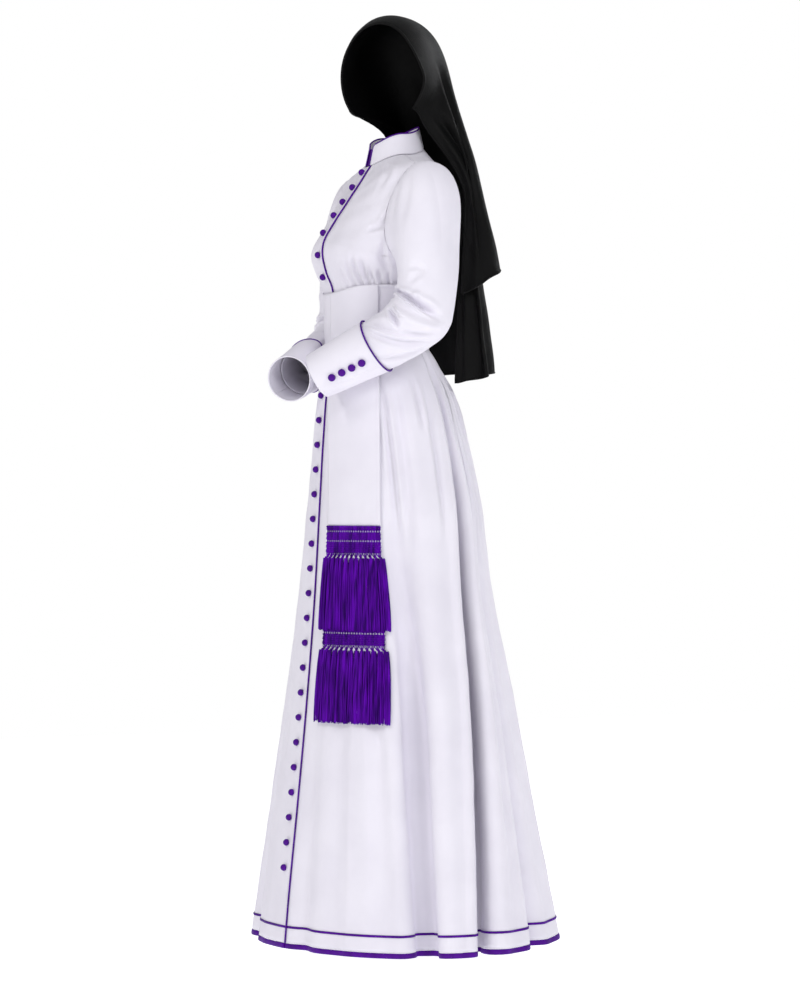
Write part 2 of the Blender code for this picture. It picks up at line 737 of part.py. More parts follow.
def sleeve_section(side, share, around, grow=0.0):
    """Points of the sleeve at a share of the arm's length; around is 0 on the outer side, 90 in
    front, 180 next to the body and 270 behind."""
    share, around = np.broadcast_arrays(np.asarray(share, float), np.asarray(around, float))
    points, directions = arm_line(side, share)
    outwards, forwards = sleeve_frame(side, directions)
    across, along = np.moveaxis(row_at(SLEEVE_RINGS, share), -1, 0)
    a = np.radians(around)
    return (
        points
        + ((across + grow) * np.cos(a))[..., None] * outwards
        + ((along + grow) * np.sin(a))[..., None] * forwards
    )


def armhole_ring(side, around):
    """Points of the armhole and the bodice's outward direction there; around as in a sleeve."""
    a = np.radians(np.asarray(around, float))
    low, high = ARMHOLE
    share = (low + high) / 2 + (high - low) / 2 * np.cos(a)
    half = ARMHOLE_HALF_ANGLE * np.sin(a)
    angle = 90 - half if side == "left" else 270 + half
    points, out = bodice(angle, share), bodice_out(angle, share)
    return points, out


def sleeve_cap(side, share, around):
    """The top of the sleeve, from the armhole, 0, to the upper-arm ring, 1."""
    share, around = np.broadcast_arrays(np.asarray(share, float), np.asarray(around, float))
    start, out = armhole_ring(side, around)
    end = sleeve_section(side, 0.0, around)
    down = sleeve_section(side, 0.02, around) - end
    high = 0.5 + 0.5 * np.cos(np.radians(around))
    sideways = np.array([1.0 if side == "left" else -1.0, 0.0, 0.0])
    outwards = unit(out * 0.55 + sideways * 0.75)
    span = np.linalg.norm(end - start, axis=-1)
    start = start + out * 0.00045
    leave = outwards * (span * (0.35 + 0.75 * high))[..., None]
    arrive = unit(down) * (span * (0.55 + 0.55 * high))[..., None]
    k = share[..., None]
    return (
        (1 + 2 * k) * (1 - k) ** 2 * start
        + k * (1 - k) ** 2 * leave
        + k * k * (3 - 2 * k) * end
        - k * k * (1 - k) * arrive
    )


def arm_clearance(side):
    """How far a sleeve stays off the robe: the left one passes over the sash's two tails."""
    return 0.0085 if side == "left" else 0.0095


def sleeve_face(side, share, around):
    """The sleeve's outer face below the upper-arm ring, kept off the robe's body."""
    section = sleeve_section(side, share, around)
    clearance = arm_clearance(side) * smooth_step(np.asarray(share) / 0.3) + 0.0015
    return clear_of_body(section, clearance)


def sleeve_out(side, share, around):
    """Outward unit normals of the sleeve's face."""
    faced = normals_of(lambda u, v: sleeve_face(side, v, u), around, share, 2.0, 0.01)
    return faced if side == "left" else -faced


def arm_length(side):
    upper, elbow, wrist = (np.array(ARMS[side][k]) for k in ("upper", "elbow", "wrist"))
    return np.linalg.norm(elbow - upper) + np.linalg.norm(wrist - elbow)


def make_sleeve(side):
    around = np.arange(SLEEVE_COLUMNS) * 360 / SLEEVE_COLUMNS
    rows = [sleeve_cap(side, k, around) for k in np.linspace(0, 1, CAP_ROWS + 1)[:-1]]
    inside_cuff = 1 - SLEEVE_SHORT / arm_length(side)
    for share in np.linspace(0, inside_cuff, ARM_ROWS):
        inset = 0.0010 * smooth_step((share - inside_cuff + 0.26) / 0.10)
        face = sleeve_face(side, share, around)
        rows.append(face - sleeve_out(side, share, around) * inset)
    cloth(f"sleeve_{side}", np.array(rows), "white_cloth", closed=True, flip=side == "right")


def cuff_point(side, back, around, out):
    """A point off the turned-back cuff's line: back runs along it from the wrist edge, 0, to its
    turned-back edge, 1."""
    back, around = np.broadcast_arrays(np.asarray(back, float), np.asarray(around, float))
    length = CUFF_LENGTH + CUFF_SLANT * np.sin(np.radians(around - 50))
    share = 1.0 - back * length / arm_length(side)
    out = out + CUFF_EASE[side] * smooth_step((back - 0.5) * 2)
    return sleeve_face(side, share, around) + sleeve_out(side, share, around) * out[..., None]


def make_cuff(side):
    around = np.arange(SLEEVE_COLUMNS) * 360 / SLEEVE_COLUMNS
    outer = CUFF_WALL + 0.0006
    rows = np.array([cuff_point(side, back, around, outer) for back in (1.0, 0.75, 0.5, 0.25, 0.0)])
    cloth(f"cuff_{side}", rows, "white_cloth", CUFF_WALL, closed=True, flip=side == "right")
    edge = cuff_point(side, 1.0, around, outer)
    ahead = unit(cuff_point(side, 1.02, around, outer) - edge)
    ring = edge + ahead * (PIPING_RADIUS + SEAM_GAP)
    cord(f"cuff_piping_{side}", ring, PIPING_RADIUS, "violet_trim", closed=True)


# ---------------------------------------------------------------- collar


def collar_point(angle, up, out=0.0):
    """The standing collar's outer face; up runs from the neckline, 0, to the top edge, 1."""
    angle, up = np.broadcast_arrays(np.asarray(angle, float), np.asarray(up, float))
    base = bodice(angle, 1.0)
    lean = np.stack([-base[..., 0] * 0.13, -(base[..., 1] - 0.004) * 0.15, np.ones_like(up)], -1)
    middle = base * (1, 1, 0)
    outwards = unit(middle - np.array([0.0, 0.002, 0.0]))
    rise = unit(np.stack([lean[..., 0] * 1.1, lean[..., 1] * 1.1, np.full_like(up, 0.04)], -1))
    return (
        base
        + rise * (up * COLLAR_HEIGHT + 0.0006)[..., None]
        + outwards * (np.asarray(out, float))[..., None]
    )


def make_collar():
    left = angle_across(straight_bodice, 1.0, COLLAR_NOTCH)
    angles = np.linspace(left, 360 - left, 31)
    rows = np.array([collar_point(angles, up) for up in (0.0, 0.5, 1.0)])
    cloth("collar", rows, "white_cloth", COLLAR_WALL)
    gap = PIPING_RADIUS + SEAM_GAP
    middle = -COLLAR_WALL / 2
    step = math.degrees(gap / 0.056)
    beyond = gap / COLLAR_HEIGHT
    down_left = [collar_point(left - step, up, middle) for up in (0.05, 0.45, 0.85)]
    across = [collar_point(a, 1 + beyond, middle) for a in np.linspace(left - step, 360 - left + step, 33)]
    down_right = [collar_point(360 - left + step, up, middle) for up in (0.85, 0.45, 0.05)]
    cord("collar_binding", down_left + across + down_right, PIPING_RADIUS * 0.85, "violet_trim")
    inside = -(COLLAR_WALL + 0.0011)
    under = np.linspace(360 - left * 1.9, 360 + left * 1.9, 9)
    rows = np.array([collar_point(under, up, inside) for up in (0.02, 0.45, 0.86)])
    cloth("collar_underlap", rows, "violet_trim", 0.0012)


# ---------------------------------------------------------------- trims on the robe


def make_front_piping():
    """One cord down the right front's edge, from the neckline to the hem."""
    points = []
    for share in bodice_shares()[:0:-1]:
        edge = angle_across(straight_bodice, share, OVERLAP_EDGE + PIPING_RADIUS + SEAM_GAP)
        points.append(on_bodice(edge, min(share, 0.995), -WALL / 2 + 0.0004))
    for _, shares in skirt_rows(lambda at: (np.zeros(1), np.zeros(1))):
        share = float(shares[0])
        start = OVERLAP_EDGE + OVERLAP_FLARE * share + PIPING_RADIUS + SEAM_GAP
        edge = angle_across(straight_skirt, share, start)
        points.append(on_skirt(edge, share, -WALL / 2 + 0.0004))
    cord("front_piping", points, PIPING_RADIUS, "violet_trim")


def hem_strip(heights, out, skipped=0):
    """Grid rows at heights above the hem, right round from the left front's hidden edge to the
    right front's piped edge, on the skirt panels' own columns, of which the first are skipped."""
    left_seam, right_seam = SIDE_SEAMS
    parts = [
        fold_columns(FRONT_START, left_seam),
        fold_columns(left_seam, right_seam)[1:],
        fold_columns(right_seam, FRONT_END)[1:],
    ]
    columns = np.concatenate(parts)
    rows = []
    for height in heights:
        at = 1.0 - height / (WAIST_Z - HEM_Z)
        angles = panel_angles(columns, None, None, at)
        share = 1 - height / np.abs(hem_height(columns) - WAIST_Z)
        edge = front_edge(straight_skirt, at, OVERLAP_EDGE, OVERLAP_FLARE)[0]
        inset = tucked(angles, edge + 1.5, WALL + LAY_GAP + 0.0003)
        rows.append(on_skirt(angles, share, out - inset)[skipped:])
    return np.array(rows)


def make_hem_trims():
    cloth("hem_binding", hem_strip((0.0, BINDING_HEIGHT), 0.0), "violet_trim", WALL)
    out = LAY_GAP + TAPE_THICKNESS + 0.0007
    rows = hem_strip((TAPE_UP, TAPE_UP + TAPE_WIDTH), out, skipped=2)
    cloth("hem_tape", rows, "violet_trim", TAPE_THICKNESS)


def button_mesh(radius, height):
    """A covered button: a low dome on a flat back, turned about its axis."""
    profile = ((0.0, 0.0), (0.82, 0.0), (1.0, 0.28), (0.74, 0.82), (0.0, 1.0))
    mesh = bmesh.new()
    verts = [mesh.verts.new((x * radius, 0.0, z * height)) for x, z in profile]
    for a, b in zip(verts, verts[1:]):
        mesh.edges.new((a, b))
    data = bpy.data.meshes.new(f"button_{radius * 2000:.0f}mm")
    mesh.to_mesh(data)
    mesh.free()
    return data


def add_button(name, data, point, out):
    made = bpy.data.objects.new(name, data)
    if not data.materials:
        data.materials.append(material("violet_trim"))
    HABIT.objects.link(made)
    turn = made.modifiers.new("turn", "SCREW")
    turn.steps = turn.render_steps = 7
    turn.use_merge_vertices = True
    turn.merge_threshold = 0.00001
    turn.use_normal_flip = True
    place(made, point + unit(np.array(out)) * BUTTON_GAP, out)


def along_rows(surface, shares, z):
    """The centre-front point at height z of a panel that is flat between its rows."""
    rows = np.array([surface(0.0, share) for share in shares])
    return np.array([np.interp(z, rows[:, 2], rows[:, axis]) for axis in range(3)])


def make_front_buttons():
    data = button_mesh(BUTTON_RADIUS, BUTTON_HEIGHT)
    shares = [float(row[1][0]) for row in skirt_rows(lambda at: (np.zeros(1), np.zeros(1)))]
    lower = [SKIRT_BUTTON_TOP_Z - i * SKIRT_BUTTON_PITCH for i in range(SKIRT_BUTTONS)]
    places = [(bodice, bodice_out, bodice_shares(), z) for z in BODICE_BUTTON_ZS]
    places += [(skirt, skirt_out, shares[::-1], z) for z in lower]
    for number, (surface, out, rows, z) in enumerate(places, 1):
        share = share_at_height(surface, z)
        point = along_rows(surface, rows, z)
        add_button(f"front_button_{number:02d}", data, point, out(0.0, share))


def make_cuff_buttons(side):
    data = button_mesh(CUFF_BUTTON_RADIUS, BUTTON_HEIGHT)
    outer = CUFF_WALL
    around = 14.0
    for i in range(4):
        back = (CUFF_BUTTON_START + i * CUFF_BUTTON_PITCH) / CUFF_LENGTH
        point = cuff_point(side, back, around, outer)
        out = sleeve_out(side, 1.0 - back * CUFF_LENGTH / arm_length(side), around)
        add_button(f"cuff_button_{side}_{i + 1}", data, point, out)


# ---------------------------------------------------------------- sash


def around_waist(angle, z, out):
    """A point off the robe's face at a height: off the bodice above the waist seam, and off the
    skirt's smooth form below it."""
    angle, z, out = np.broadcast_arrays(*(np.asarray(v, float) for v in (angle, z, out)))
    low, high = np.zeros(z.shape), np.ones(z.shape)
    for _ in range(30):
        share = (low + high) / 2
        under = straight_bodice(angle, share)[..., 2] < z
        low, high = np.where(under, share, low), np.where(under, high, share)
    above = straight_bodice(angle, share) * (1, 1, 0) + z[..., None] * (0, 0, 1)
    row = np.moveaxis(row_at(SKIRT_RINGS, np.minimum(z, WAIST_Z)), -1, 0)
    side_x, front_y, back_y, front_power, back_power = row
    side_y = (front_y + back_y) / 2
    x, y = ring_point(angle, side_x, side_y, front_y, back_y, front_power, back_power)
    below = np.stack([x, y, z], -1)
    point = np.where((z > WAIST_Z)[..., None], above, below)
    normal = unit(np.stack([x / side_x**2, (y - side_y) / (front_y - side_y) ** 2, 0 * z], -1))
    return turned(point + normal * out[..., None])


def make_sash_band():
    angles = np.arange(36) * 10.0
    out = SASH_STANDOFF + SASH_WALL
    low = row_at(SASH_LOWER_EDGE, angles)[..., 0]
    upper = np.linspace(SASH_BOTTOM_Z, SASH_TOP_Z, 5)[2:]
    rows = [around_waist(angles, z, out) for z in (low, (low + upper[0]) / 2, *upper)]
    cloth("sash_band", np.array(rows), "white_cloth", SASH_WALL, closed=True)


def tail_point(across, z, out):
    """A point of a hanging tail; across runs from -1, at its front edge, to 1."""
    across, z, out = np.broadcast_arrays(*(np.asarray(v, float) for v in (across, z, out)))
    middle, width = np.moveaxis(row_at(TAIL_LEVELS, z), -1, 0)
    here = around_waist(middle, z, out)
    ahead = around_waist(middle + 1.0, z, out)
    degrees = width / 2 / np.linalg.norm(ahead - here, axis=-1)
    return around_waist(middle + across * degrees, z, out)


def make_tail(name, out, end_z):
    across = np.linspace(-1, 1, 8)
    heights = np.concatenate([np.linspace(end_z, SASH_BOTTOM_Z, 6)[:-1], np.linspace(SASH_BOTTOM_Z, SASH_TOP_Z - 0.001, 3)])
    rows = [tail_point(across, z, out) for z in heights]
    cloth(name, np.array(rows), "white_cloth", SASH_WALL)


def make_fringe(name, out, top_z):
    """A knotted header with its hanging locks, as one body: the header's lower rim is drawn down
    into the locks."""
    thick = 0.0018
    width = 2.0 / (LOCKS * 1.5 - 0.5)
    edges = []
    for i in range(LOCKS):
        edges += [-1 + i * 1.5 * width, -1 + (i * 1.5 + 1) * width]
    edges = np.array(edges)
    mesh = bmesh.new()
    heights = (top_z - SEAM_GAP, top_z - HEADER_HEIGHT / 2, top_z - HEADER_HEIGHT)

    def row(z, spread, face, start=0, stop=None):
        points = tail_point(edges[start:stop] * spread, z, out - (thick if face else 0.0))
        return [mesh.verts.new(p) for p in points]

    header = [[row(z, 1.0, face) for z in heights] for face in (0, 1)]
    columns = len(edges)
    for r in range(2):
        for c in range(columns - 1):
            for face in (0, 1):
                g = header[face]
                quad = (g[r][c], g[r + 1][c], g[r + 1][c + 1], g[r][c + 1])
                mesh.faces.new(quad if face == 0 else quad[::-1])
    for c in range(columns - 1):
        top = (header[0][0][c], header[0][0][c + 1], header[1][0][c + 1], header[1][0][c])
        mesh.faces.new(top)
    for r in range(2):
        for c, turn in ((0, 1), (columns - 1, -1)):
            side = (header[0][r][c], header[1][r][c], header[1][r + 1][c], header[0][r + 1][c])
            mesh.faces.new(side[::turn])
    for c in range(columns - 1):
        front, back = header[0][2], header[1][2]
        ring = [front[c], front[c + 1], back[c + 1], back[c]]
        if c % 2:
            mesh.faces.new(ring[::-1])
            continue
        wave = 0.004 * math.sin(2.4 * c)
        for part, spread in ((0.30, 1.13), (1.0, 1.18)):
            z = top_z - HEADER_HEIGHT - part * (FRINGE_DROP + wave)
            front = row(z, spread, 0, c, c + 2)
            back = row(z, spread, 1, c, c + 2)
            lower = [front[0], front[1], back[1], back[0]]
            for i in range(4):
                j = (i + 1) % 4
                mesh.faces.new((ring[j], ring[i], lower[i], lower[j]))
            ring = lower
        mesh.faces.new(ring[::-1])
    bmesh.ops.recalc_face_normals(mesh, faces=mesh.faces)
    data = bpy.data.meshes.new(name)
    mesh.to_mesh(data)
    mesh.free()
    new_object(name, data, "violet_fringe")


def make_sash():
    make_sash_band()
    back_out = SASH_STANDOFF + SASH_WALL * 2 + LAY_GAP + 0.0004
    front_out = back_out + SASH_WALL + LAY_GAP + 0.0002
    make_tail("sash_tail_back", back_out, BACK_TAIL_END_Z)
    make_tail("sash_tail_front", front_out, FRONT_TAIL_END_Z)
    make_fringe("fringe_back", back_out + 0.0003, BACK_TAIL_END_Z)
    make_fringe("fringe_front", front_out + 0.0008, FRONT_TAIL_END_Z)


# ---------------------------------------------------------------- veil


def head_point(across_angle, back, grow):
    """A point on the head's rounded form: across_angle from the crown towards the wearer's left
    ear, and back, the distance behind the head's middle."""
    half = HEAD_HALF
    a = np.radians(across_angle)
    k = np.sqrt(np.clip(1 - (back / (half["along"] + grow)) ** 2, 0, 1))
    left = (half["across"] + grow) * k * np.sin(a)
    up = (half["up"] + grow) * k * np.cos(a)
    t = math.radians(HEAD_TURN)
    x = left * math.cos(t) - back * math.sin(t)
    y = left * math.sin(t) + back * math.cos(t)
    return np.stack([x, y, up], -1) + np.array(HEAD_CENTRE)


def veil_fall(rings, across, height):
    """The falling part: across is 1 at the left edge and -1 at the right one, and height runs
    from the hem, 0, to the top, 1. Gives X and Y."""
    knots = row_at(rings, height)
    at = (1 - across) * 2
    i = np.clip(np.floor(at).astype(int), 0, 3)
    k = (at - i)[..., None]
    knots = knots.reshape(knots.shape[:-1] + (5, 2))

    def knot(n):
        return np.take_along_axis(knots, np.clip(n, 0, 4)[..., None, None], -2)[..., 0, :]

    start, end = knot(i), knot(i + 1)
    leave = (end - knot(i - 1)) * np.where(i > 0, 0.5, 1.0)[..., None]
    arrive = (knot(i + 2) - start) * np.where(i < 3, 0.5, 1.0)[..., None]
    return (
        (1 + 2 * k) * (1 - k) ** 2 * start
        + k * (1 - k) ** 2 * leave
        + k * k * (3 - 2 * k) * end
        - k * k * (1 - k) * arrive
    )


def veil_waves(tier, across, share):
    """How far the cloth waves in and out, growing down the fall."""
    for name, count, depth, phase in VEIL_WAVES:
        if name == tier:
            edge = 1 - 0.6 * across**4
            return depth * edge * share**0.8 * np.sin(math.pi * count * across + phase)


def falling(tier, rings, hem, top, across, share):
    """A tier's falling part; share runs down it, 0 to 1."""
    z = top + (row_at(hem, across)[..., 0] - top) * share
    flat = veil_fall(rings, across, 1 - share)
    out = unit(flat - np.array([-0.01, 0.02]))
    flat = flat + out * veil_waves(tier, across, share)[..., None]
    return np.concatenate([flat, z[..., None]], -1)


def outer_veil(across, down):
    """The outer tier: down is 0 at its front edge on the head and 1 at the hem."""
    across, down = np.broadcast_arrays(np.asarray(across, float), np.asarray(down, float))
    forward, leaves = np.moveaxis(row_at(VEIL_EDGE, np.abs(across)), -1, 0)
    on = VEIL_ON_HEAD * (1 - 0.85 * np.abs(across) ** 3)
    on_head = np.clip(down / on, 0, 1)
    travelled = np.sin(on_head * math.pi / 2)
    back = (leaves + forward) * travelled - forward
    slid = VEIL_SAG * np.sin(math.pi * across) * smooth_step(on_head)
    edge = across * VEIL_EDGE_ANGLE + slid * (np.abs(across) < 1)
    cap = head_point(edge, back, 0.002 + 0.013 * smooth_step(back / 0.065))
    share = np.clip((down - on) / (1 - on), 0, 1)
    top = row_at(OUTER_VEIL_TOP, across)[..., 0]
    fall = falling("outer", OUTER_VEIL_RINGS, OUTER_VEIL_HEM, top, across, share)
    blend = smooth_step((down - on * 0.5) / (on * 0.7))[..., None]
    return cap * (1 - blend) + fall * blend


def inner_veil(across, down):
    """The lower tier: down is 0 at its seam inside the outer tier and 1 at the hem."""
    across, down = np.broadcast_arrays(np.asarray(across, float), np.asarray(down, float))
    inside = across * (0.60 + 0.30 * smooth_step(down / 0.6))
    outer_top = row_at(OUTER_VEIL_TOP, inside)[..., 0]
    outer_hem = row_at(OUTER_VEIL_HEM, inside)[..., 0]
    top = outer_top + (outer_hem - outer_top) * INNER_VEIL_TOP
    fall = falling("inner", INNER_VEIL_RINGS, INNER_VEIL_HEM, top, across, down)
    share = np.clip((fall[..., 2] - outer_top) / (outer_hem - outer_top), 0, 1)

    def outer_fall(at):
        return falling("outer", OUTER_VEIL_RINGS, OUTER_VEIL_HEM, outer_top, at, share)

    along = outer_fall(inside - 0.02) - outer_fall(inside + 0.02)
    out = unit(np.stack([along[..., 1], -along[..., 0], 0 * down], -1))
    inset = 0.0034 + 0.011 * smooth_step(down / 0.3) * (1 - 0.75 * np.abs(across) ** 3)
    hung = outer_fall(inside) - out * inset[..., None]
    blend = smooth_step((down - 0.10) / 0.40)[..., None]
    return (hung * (1 - blend) + fall * blend) * (1, 1, 0) + fall * (0, 0, 1)


def back_of_robe():
    """Points and outward directions over the bodice and the top of the skirt."""
    angles, shares = np.meshgrid(np.linspace(40, 320, 90), np.linspace(0.0, 1.0, 60))
    points = [bodice(angles, shares).reshape(-1, 3)]
    outs = [bodice_out(angles, shares).reshape(-1, 3)]
    angles, shares = np.meshgrid(np.linspace(40, 320, 90), np.linspace(0.0, 0.15, 14))
    points.append(skirt(angles, shares).reshape(-1, 3))
    outs.append(skirt_out(angles, shares).reshape(-1, 3))
    return np.vstack(points), np.vstack(outs)


def pushed_off(points, cloud, outs, clearance):
    """Moves points that are nearer than the clearance to a surface out of it."""
    flat = points.reshape(-1, 3).copy()
    for _ in range(3):
        gaps = ((flat[:, None, :] - cloud[None]) ** 2).sum(-1)
        nearest = gaps.argmin(1)
        height = ((flat - cloud[nearest]) * outs[nearest]).sum(-1)
        short = np.clip(clearance - height, 0, 0.05)
        flat += outs[nearest] * short[:, None]
    return flat.reshape(points.shape)


def make_veil():
    cloud, outs = back_of_robe()
    across = np.linspace(1, -1, 23)
    down = np.concatenate([np.linspace(0, VEIL_ON_HEAD, 7), np.linspace(VEIL_ON_HEAD, 1, 9)[1:]])
    points = outer_veil(across, down[:, None])
    points = pushed_off(points, cloud, outs, OUTER_VEIL_CLEARANCE)
    cloth("veil_outer", points, "black_cloth", VEIL_WALL)
    across = np.linspace(1, -1, 21)
    points = inner_veil(across, np.linspace(0, 1, 8)[:, None])
    points = pushed_off(points, cloud, outs, INNER_VEIL_CLEARANCE)
    cloth("veil_inner", points, "black_cloth", VEIL_WALL)


# ---------------------------------------------------------------- the whole

for old in list(bpy.data.objects):
    bpy.data.objects.remove(old)
HABIT = new_collection("nun_habit")

make_skirt()
make_bodice()
make_collar()
for arm in ARMS:
    make_sleeve(arm)
    make_cuff(arm)
    make_cuff_buttons(arm)
make_front_piping()
make_hem_trims()
make_front_buttons()
make_sash()
make_veil()
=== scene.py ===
# The looks of the nun habit. Each cloth piece is a fine grid laid over the same curves as its solid,
# with folds on it. +X is the wearer's left, -Y the front and +Z up, in metres.

import functools
import math

import bmesh
import bpy
import numpy as np
from mathutils import Matrix, Vector
from mathutils.kdtree import KDTree


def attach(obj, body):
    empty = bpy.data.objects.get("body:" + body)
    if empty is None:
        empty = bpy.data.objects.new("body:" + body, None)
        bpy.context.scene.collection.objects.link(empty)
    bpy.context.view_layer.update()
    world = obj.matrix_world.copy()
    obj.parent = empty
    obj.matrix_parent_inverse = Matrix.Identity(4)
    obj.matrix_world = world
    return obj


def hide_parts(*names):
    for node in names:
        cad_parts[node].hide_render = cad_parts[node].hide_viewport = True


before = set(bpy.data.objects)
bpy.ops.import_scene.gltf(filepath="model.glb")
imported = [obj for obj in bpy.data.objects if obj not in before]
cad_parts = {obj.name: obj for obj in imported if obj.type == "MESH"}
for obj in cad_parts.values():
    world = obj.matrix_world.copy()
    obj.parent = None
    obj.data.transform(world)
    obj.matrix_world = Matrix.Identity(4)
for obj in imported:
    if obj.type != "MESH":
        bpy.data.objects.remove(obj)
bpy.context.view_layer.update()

# ---------------------------------------------------------------- camera, floor and light

VIEW_ANGLE = math.radians(60.0)  # from straight ahead of the wearer, towards the wearer's left
VIEW_DISTANCE = 6.5
VIEW_MIDDLE_Z = -0.622
VIEW_ASIDE = 0.0128
LENS = 127.87
SENSOR_WIDTH = 36.0
FAR_END = 100.0

FLOOR_Z = -1.474
FLOOR_HALF = 6.0
FLOOR_COLOUR = (0.86, 0.86, 0.87, 1.0)
FLOOR_ROUGHNESS = 0.9
FLOOR_GLOW = 0.74
WHITE = (1.0, 1.0, 1.0, 1.0)
WORLD_COLOUR = (0.98, 0.98, 1.0, 1.0)
WORLD_LIGHT = 0.39
LIT_MIDDLE = (0.0, 0.0, -0.6)
LIGHTS = (
    # name  place  target  size  power  colour
    ("key", (0.8, -4.3, 2.8), LIT_MIDDLE, 1.5, 58.0, (1.0, 0.985, 0.975)),
    ("side", (4.5, 0.0, 2.0), LIT_MIDDLE, 1.6, 64.0, (0.98, 0.98, 1.0)),
    ("back", (-0.8, 4.4, 1.8), LIT_MIDDLE, 2.0, 44.0, (0.97, 0.98, 1.0)),
    ("chest", (1.5, -1.6, 0.6), (0.0, -0.06, -0.15), 0.7, 5.0, (1.0, 0.99, 0.985)),
)


def add_camera():
    right = Vector((math.cos(VIEW_ANGLE), math.sin(VIEW_ANGLE), 0.0))
    back = Vector((math.sin(VIEW_ANGLE), -math.cos(VIEW_ANGLE), 0.0))
    data = bpy.data.cameras.new("camera")
    data.lens = LENS
    data.sensor_width = SENSOR_WIDTH
    data.clip_end = FAR_END
    made = bpy.data.objects.new("camera", data)
    made.location = right * VIEW_ASIDE + back * VIEW_DISTANCE + Vector((0.0, 0.0, VIEW_MIDDLE_Z))
    made.rotation_euler = (math.pi / 2, 0.0, VIEW_ANGLE)
    bpy.context.scene.collection.objects.link(made)
    bpy.context.scene.camera = made


def add_area(name, place, target, size, power, colour):
    data = bpy.data.lights.new(name, "AREA")
    data.shape = "DISK"
    data.size = size
    data.energy = power
    data.color = colour
    made = bpy.data.objects.new(name, data)
    made.location = place
    made.rotation_euler = (Vector(target) - Vector(place)).to_track_quat("-Z", "Y").to_euler()
    bpy.context.scene.collection.objects.link(made)


def add_floor():
    half = FLOOR_HALF
    corners = [(x, y, FLOOR_Z) for x, y in ((-half, -half), (half, -half), (half, half), (-half, half))]
    mesh = bpy.data.meshes.new("floor")
    mesh.from_pydata(corners, [], [(0, 1, 2, 3)])
    floor = bpy.data.objects.new("floor", mesh)
    bpy.context.scene.collection.objects.link(floor)
    pale = bpy.data.materials.new("floor")
    pale.use_nodes = True
    shader = pale.node_tree.nodes["Principled BSDF"]
    shader.inputs["Base Color"].default_value = FLOOR_COLOUR
    shader.inputs["Roughness"].default_value = FLOOR_ROUGHNESS
    shader.inputs["Emission Color"].default_value = WHITE
    shader.inputs["Emission Strength"].default_value = FLOOR_GLOW
    mesh.materials.append(pale)


def add_world():
    """A soft light from all sides, which the camera sees as plain white."""
    world = bpy.data.worlds.new("studio")
    world.use_nodes = True
    tree = world.node_tree
    soft = tree.nodes["Background"]
    soft.inputs["Color"].default_value = WORLD_COLOUR
    soft.inputs["Strength"].default_value = WORLD_LIGHT
    seen = tree.nodes.new("ShaderNodeBackground")
    seen.inputs["Color"].default_value = WHITE
    path = tree.nodes.new("ShaderNodeLightPath")
    mix = tree.nodes.new("ShaderNodeMixShader")
    tree.links.new(path.outputs["Is Camera Ray"], mix.inputs[0])
    tree.links.new(soft.outputs[0], mix.inputs[1])
    tree.links.new(seen.outputs[0], mix.inputs[2])
    tree.links.new(mix.outputs[0], tree.nodes["World Output"].inputs["Surface"])
    bpy.context.scene.world = world


bpy.context.scene.view_settings.view_transform = "Standard"
bpy.context.scene.view_settings.look = "None"
add_camera()
add_floor()
add_world()
for light in LIGHTS:
    add_area(*light)

# ---------------------------------------------------------------- driving sizes

WALL = 0.0016  # robe cloth with its seam allowance
SASH_WALL = 0.0012
VEIL_WALL = 0.0011
SEAM_GAP = 0.0003  # between two pieces that are sewn together
LAY_GAP = 0.0004  # between a piece and what it lies on

WAIST_Z = -0.335  # seam between bodice and skirt, under the sash
HEM_Z = -1.425
HEM_LIFT = 0.022  # the hem rides up a little at the back
TORSO_TURN = -10.0  # degrees that the chest is turned over the hem, towards the wearer's right
TURN_TOP_Z = -0.300
BINDING_HEIGHT = 0.0095
TAPE_UP = 0.036  # height of the tape's lower edge above the hem
TAPE_WIDTH = 0.0042
TAPE_THICKNESS = 0.0008

SASH_TOP_Z = -0.236
SASH_BOTTOM_Z = -0.417  # at the front; the lower edge rises round the sides
SASH_STANDOFF = 0.0019  # clears the piping that runs under the band
FRONT_TAIL_END_Z = -0.668
BACK_TAIL_END_Z = -0.832
HEADER_HEIGHT = 0.050
FRINGE_DROP = 0.1350

OVERLAP_EDGE = 0.0135  # the right front's edge, left of the centre front
OVERLAP_FLARE = 0.007  # how much further it stands at the hem
UNDERLAP_EDGE = -0.013  # the left front's hidden edge
LAP_DEPTH = WALL + LAY_GAP + 0.0003  # how far the left front lies under the right one
PIPING_RADIUS = 0.0015

BUTTON_RADIUS = 0.0062
BUTTON_HEIGHT = 0.0088
CUFF_BUTTON_RADIUS = 0.0070
CUFF_BUTTON_START = 0.0357  # from the cuff's mouth to the first one
CUFF_BUTTON_PITCH = 0.0218
CUFF_BUTTONS = 4
CUFF_BUTTON_AROUND = 14.0
SKIRT_BUTTON_PITCH = 0.0448
SKIRT_BUTTONS = 20
SKIRT_BUTTON_TOP_Z = -0.4325
BODICE_BUTTON_ZS = (-0.026, -0.054, -0.081, -0.106, -0.138, -0.177, -0.216)

COLLAR_HEIGHT = 0.038
COLLAR_WALL = 0.0018
COLLAR_NOTCH = 0.0125  # half the gap between the collar's two ends

CUFF_LENGTH = 0.127
CUFF_WALL = 0.0020
CUFF_OUT = CUFF_WALL + 0.0006  # the cuff's outer face stands this far off the sleeve's line
SLEEVE_SHORT = 0.072  # the sleeve ends this far up inside the cuff
CUFF_EASE = {"left": -0.0002, "right": 0.0010}  # how much further the turned-back edge stands off
CUFF_SLANT = -0.003  # the turned-back edge lies a little further back on the outer side

# ---------------------------------------------------------------- section tables

